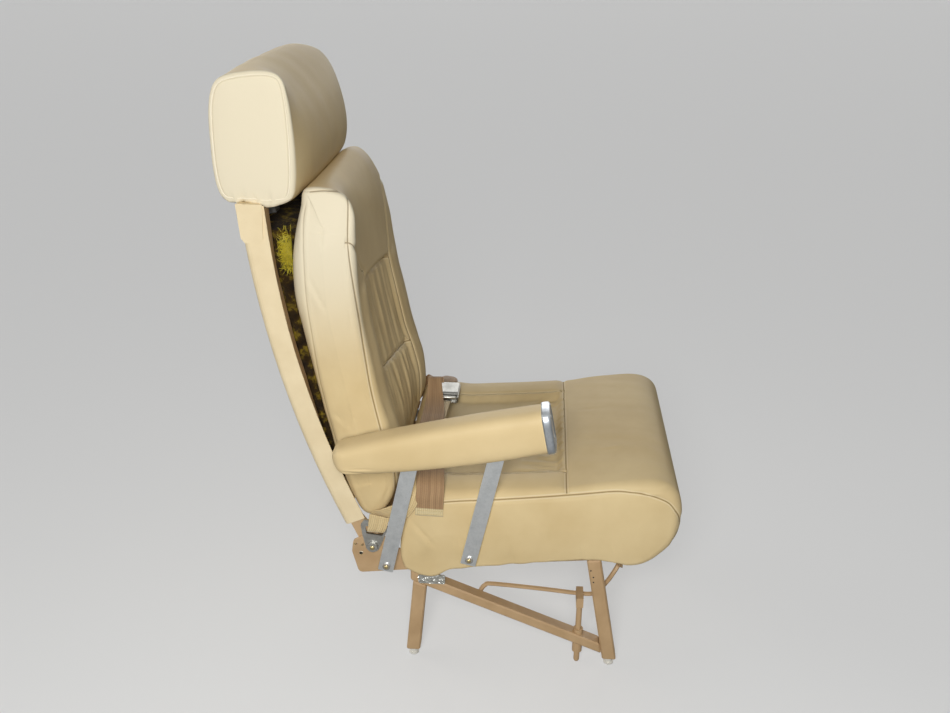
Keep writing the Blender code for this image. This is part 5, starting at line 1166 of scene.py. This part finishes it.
def turned_piece(name, at, axis, profile, material, body, slot="bare_steel", sides=28):
    """Solid of revolution: (radius, distance) pairs along the axis, whose ends lie on it."""
    axis = unit(np.array(axis, float))
    side = unit(np.cross(axis, (0.0, 1.0, 0.0) if abs(axis[1]) < 0.9 else (1.0, 0.0, 0.0)))
    other = np.cross(axis, side)
    angle = around(sides)
    turn = np.cos(angle)[:, None] * side + np.sin(angle)[:, None] * other
    radius, distance = np.array(profile).T
    points = np.array(at) + distance[:, None, None] * axis + radius[:, None, None] * turn[None]
    ringed_piece(name, points, material, body, slot)


def dome(radius, height, foot=0.0004):
    """Profile of a low dome on a short foot: a quarter ellipse from the rim to the axis."""
    quarter = [(radius * np.cos(a), foot + height * np.sin(a)) for a in np.linspace(0, np.pi / 2, 7)[1:-1]]
    return [(0.0, 0.0), (radius, 0.0), (radius, foot), *quarter, (0.0, foot + height)]


def ring(inner, outer, thick):
    """Profile of a washer round an inner radius, closed on itself by the welded ends."""
    rim = [(outer, 0.0), (outer, thick * 0.6), (outer * 0.97, thick)]
    return [(inner, 0.0), *rim, (inner, thick), (inner, 0.0)]


LINK_BOLTS = {"rear": (0.3817, 0.2029), "front": (0.2441, 0.2225)}


def fasteners():
    """Domed yellow bolt heads with washers, rimmed holes, cap screws and the buckle's roller."""
    out = (-1.0, 0.0, 0.0)
    turned_piece("recline_bolt_cap", (-0.2309, 0.4068, 0.2297), out, dome(0.0040, 0.0016), YELLOW_ZINC,
                 "frame")
    for name, (y, z) in LINK_BOLTS.items():
        turned_piece(name + "_link_cap", (-0.2453, y, z), out, dome(0.0036, 0.0014), YELLOW_ZINC, "frame")
    # No holes are cut: a dark disc in each rim is painted shade of the bore
    holes = ((0.4374, 0.2293, 0.0011), (0.4256, 0.2280, 0.0011), (0.4278, 0.2121, 0.0026))
    for k, (y, z, radius) in enumerate(holes):
        turned_piece("plate_hole_rim_%d" % k, (-0.2208, y, z), out, ring(radius, radius + 0.0007, 0.0004),
                     YELLOW_ZINC, "frame", "tan_paint")
        turned_piece("plate_hole_%d" % k, (-0.22075, y, z), out, dome(radius, 0.0001, 0.0002), HOLE, "frame")
    for name, (y, z) in LINK_BOLTS.items():
        turned_piece(name + "_link_washer", (-0.2443, y, z), out, dome(0.0060, 0.0003, 0.0006), COPPER_ZINC,
                     "frame")
    # Leg holes drawn as dark discs: painted shade of the bores
    for k, (y, z) in enumerate(((0.0413, 0.1956), (0.0364, 0.1827), (0.0358, 0.1728))):
        turned_piece("leg_hole_%d" % k, (-0.2165, y, z), out, dome(0.0014, 0.0002, 0.0001), HOLE, "frame")
    for k, height in enumerate((0.0175, -0.0165)):
        y, z = arm_place(-0.0102, height)
        turned_piece("cap_screw_%d" % k, (-0.2757, y, z), (0.0, -np.cos(ARM_SLOPE), np.sin(ARM_SLOPE)),
                     dome(0.0034, 0.0014), STUD_STEEL, "armrest")
    roller = [(0.0, 0.0), (0.0026, 0.0), (0.0030, 0.0005), (0.0030, 0.0445), (0.0026, 0.0450), (0.0, 0.0450)]
    turned_piece("buckle_roller", (0.0975, 0.2955, 0.3585), (0.0, 1.0, 0.0), roller, STUD_STEEL, "frame")


place_camera()
set_stage()
finish_nodes()
seat_cushion()
back_cushion()
headrest()
armrest()
armrest_cap()
lap_belt()
shell_lips()
batting()
fasteners()
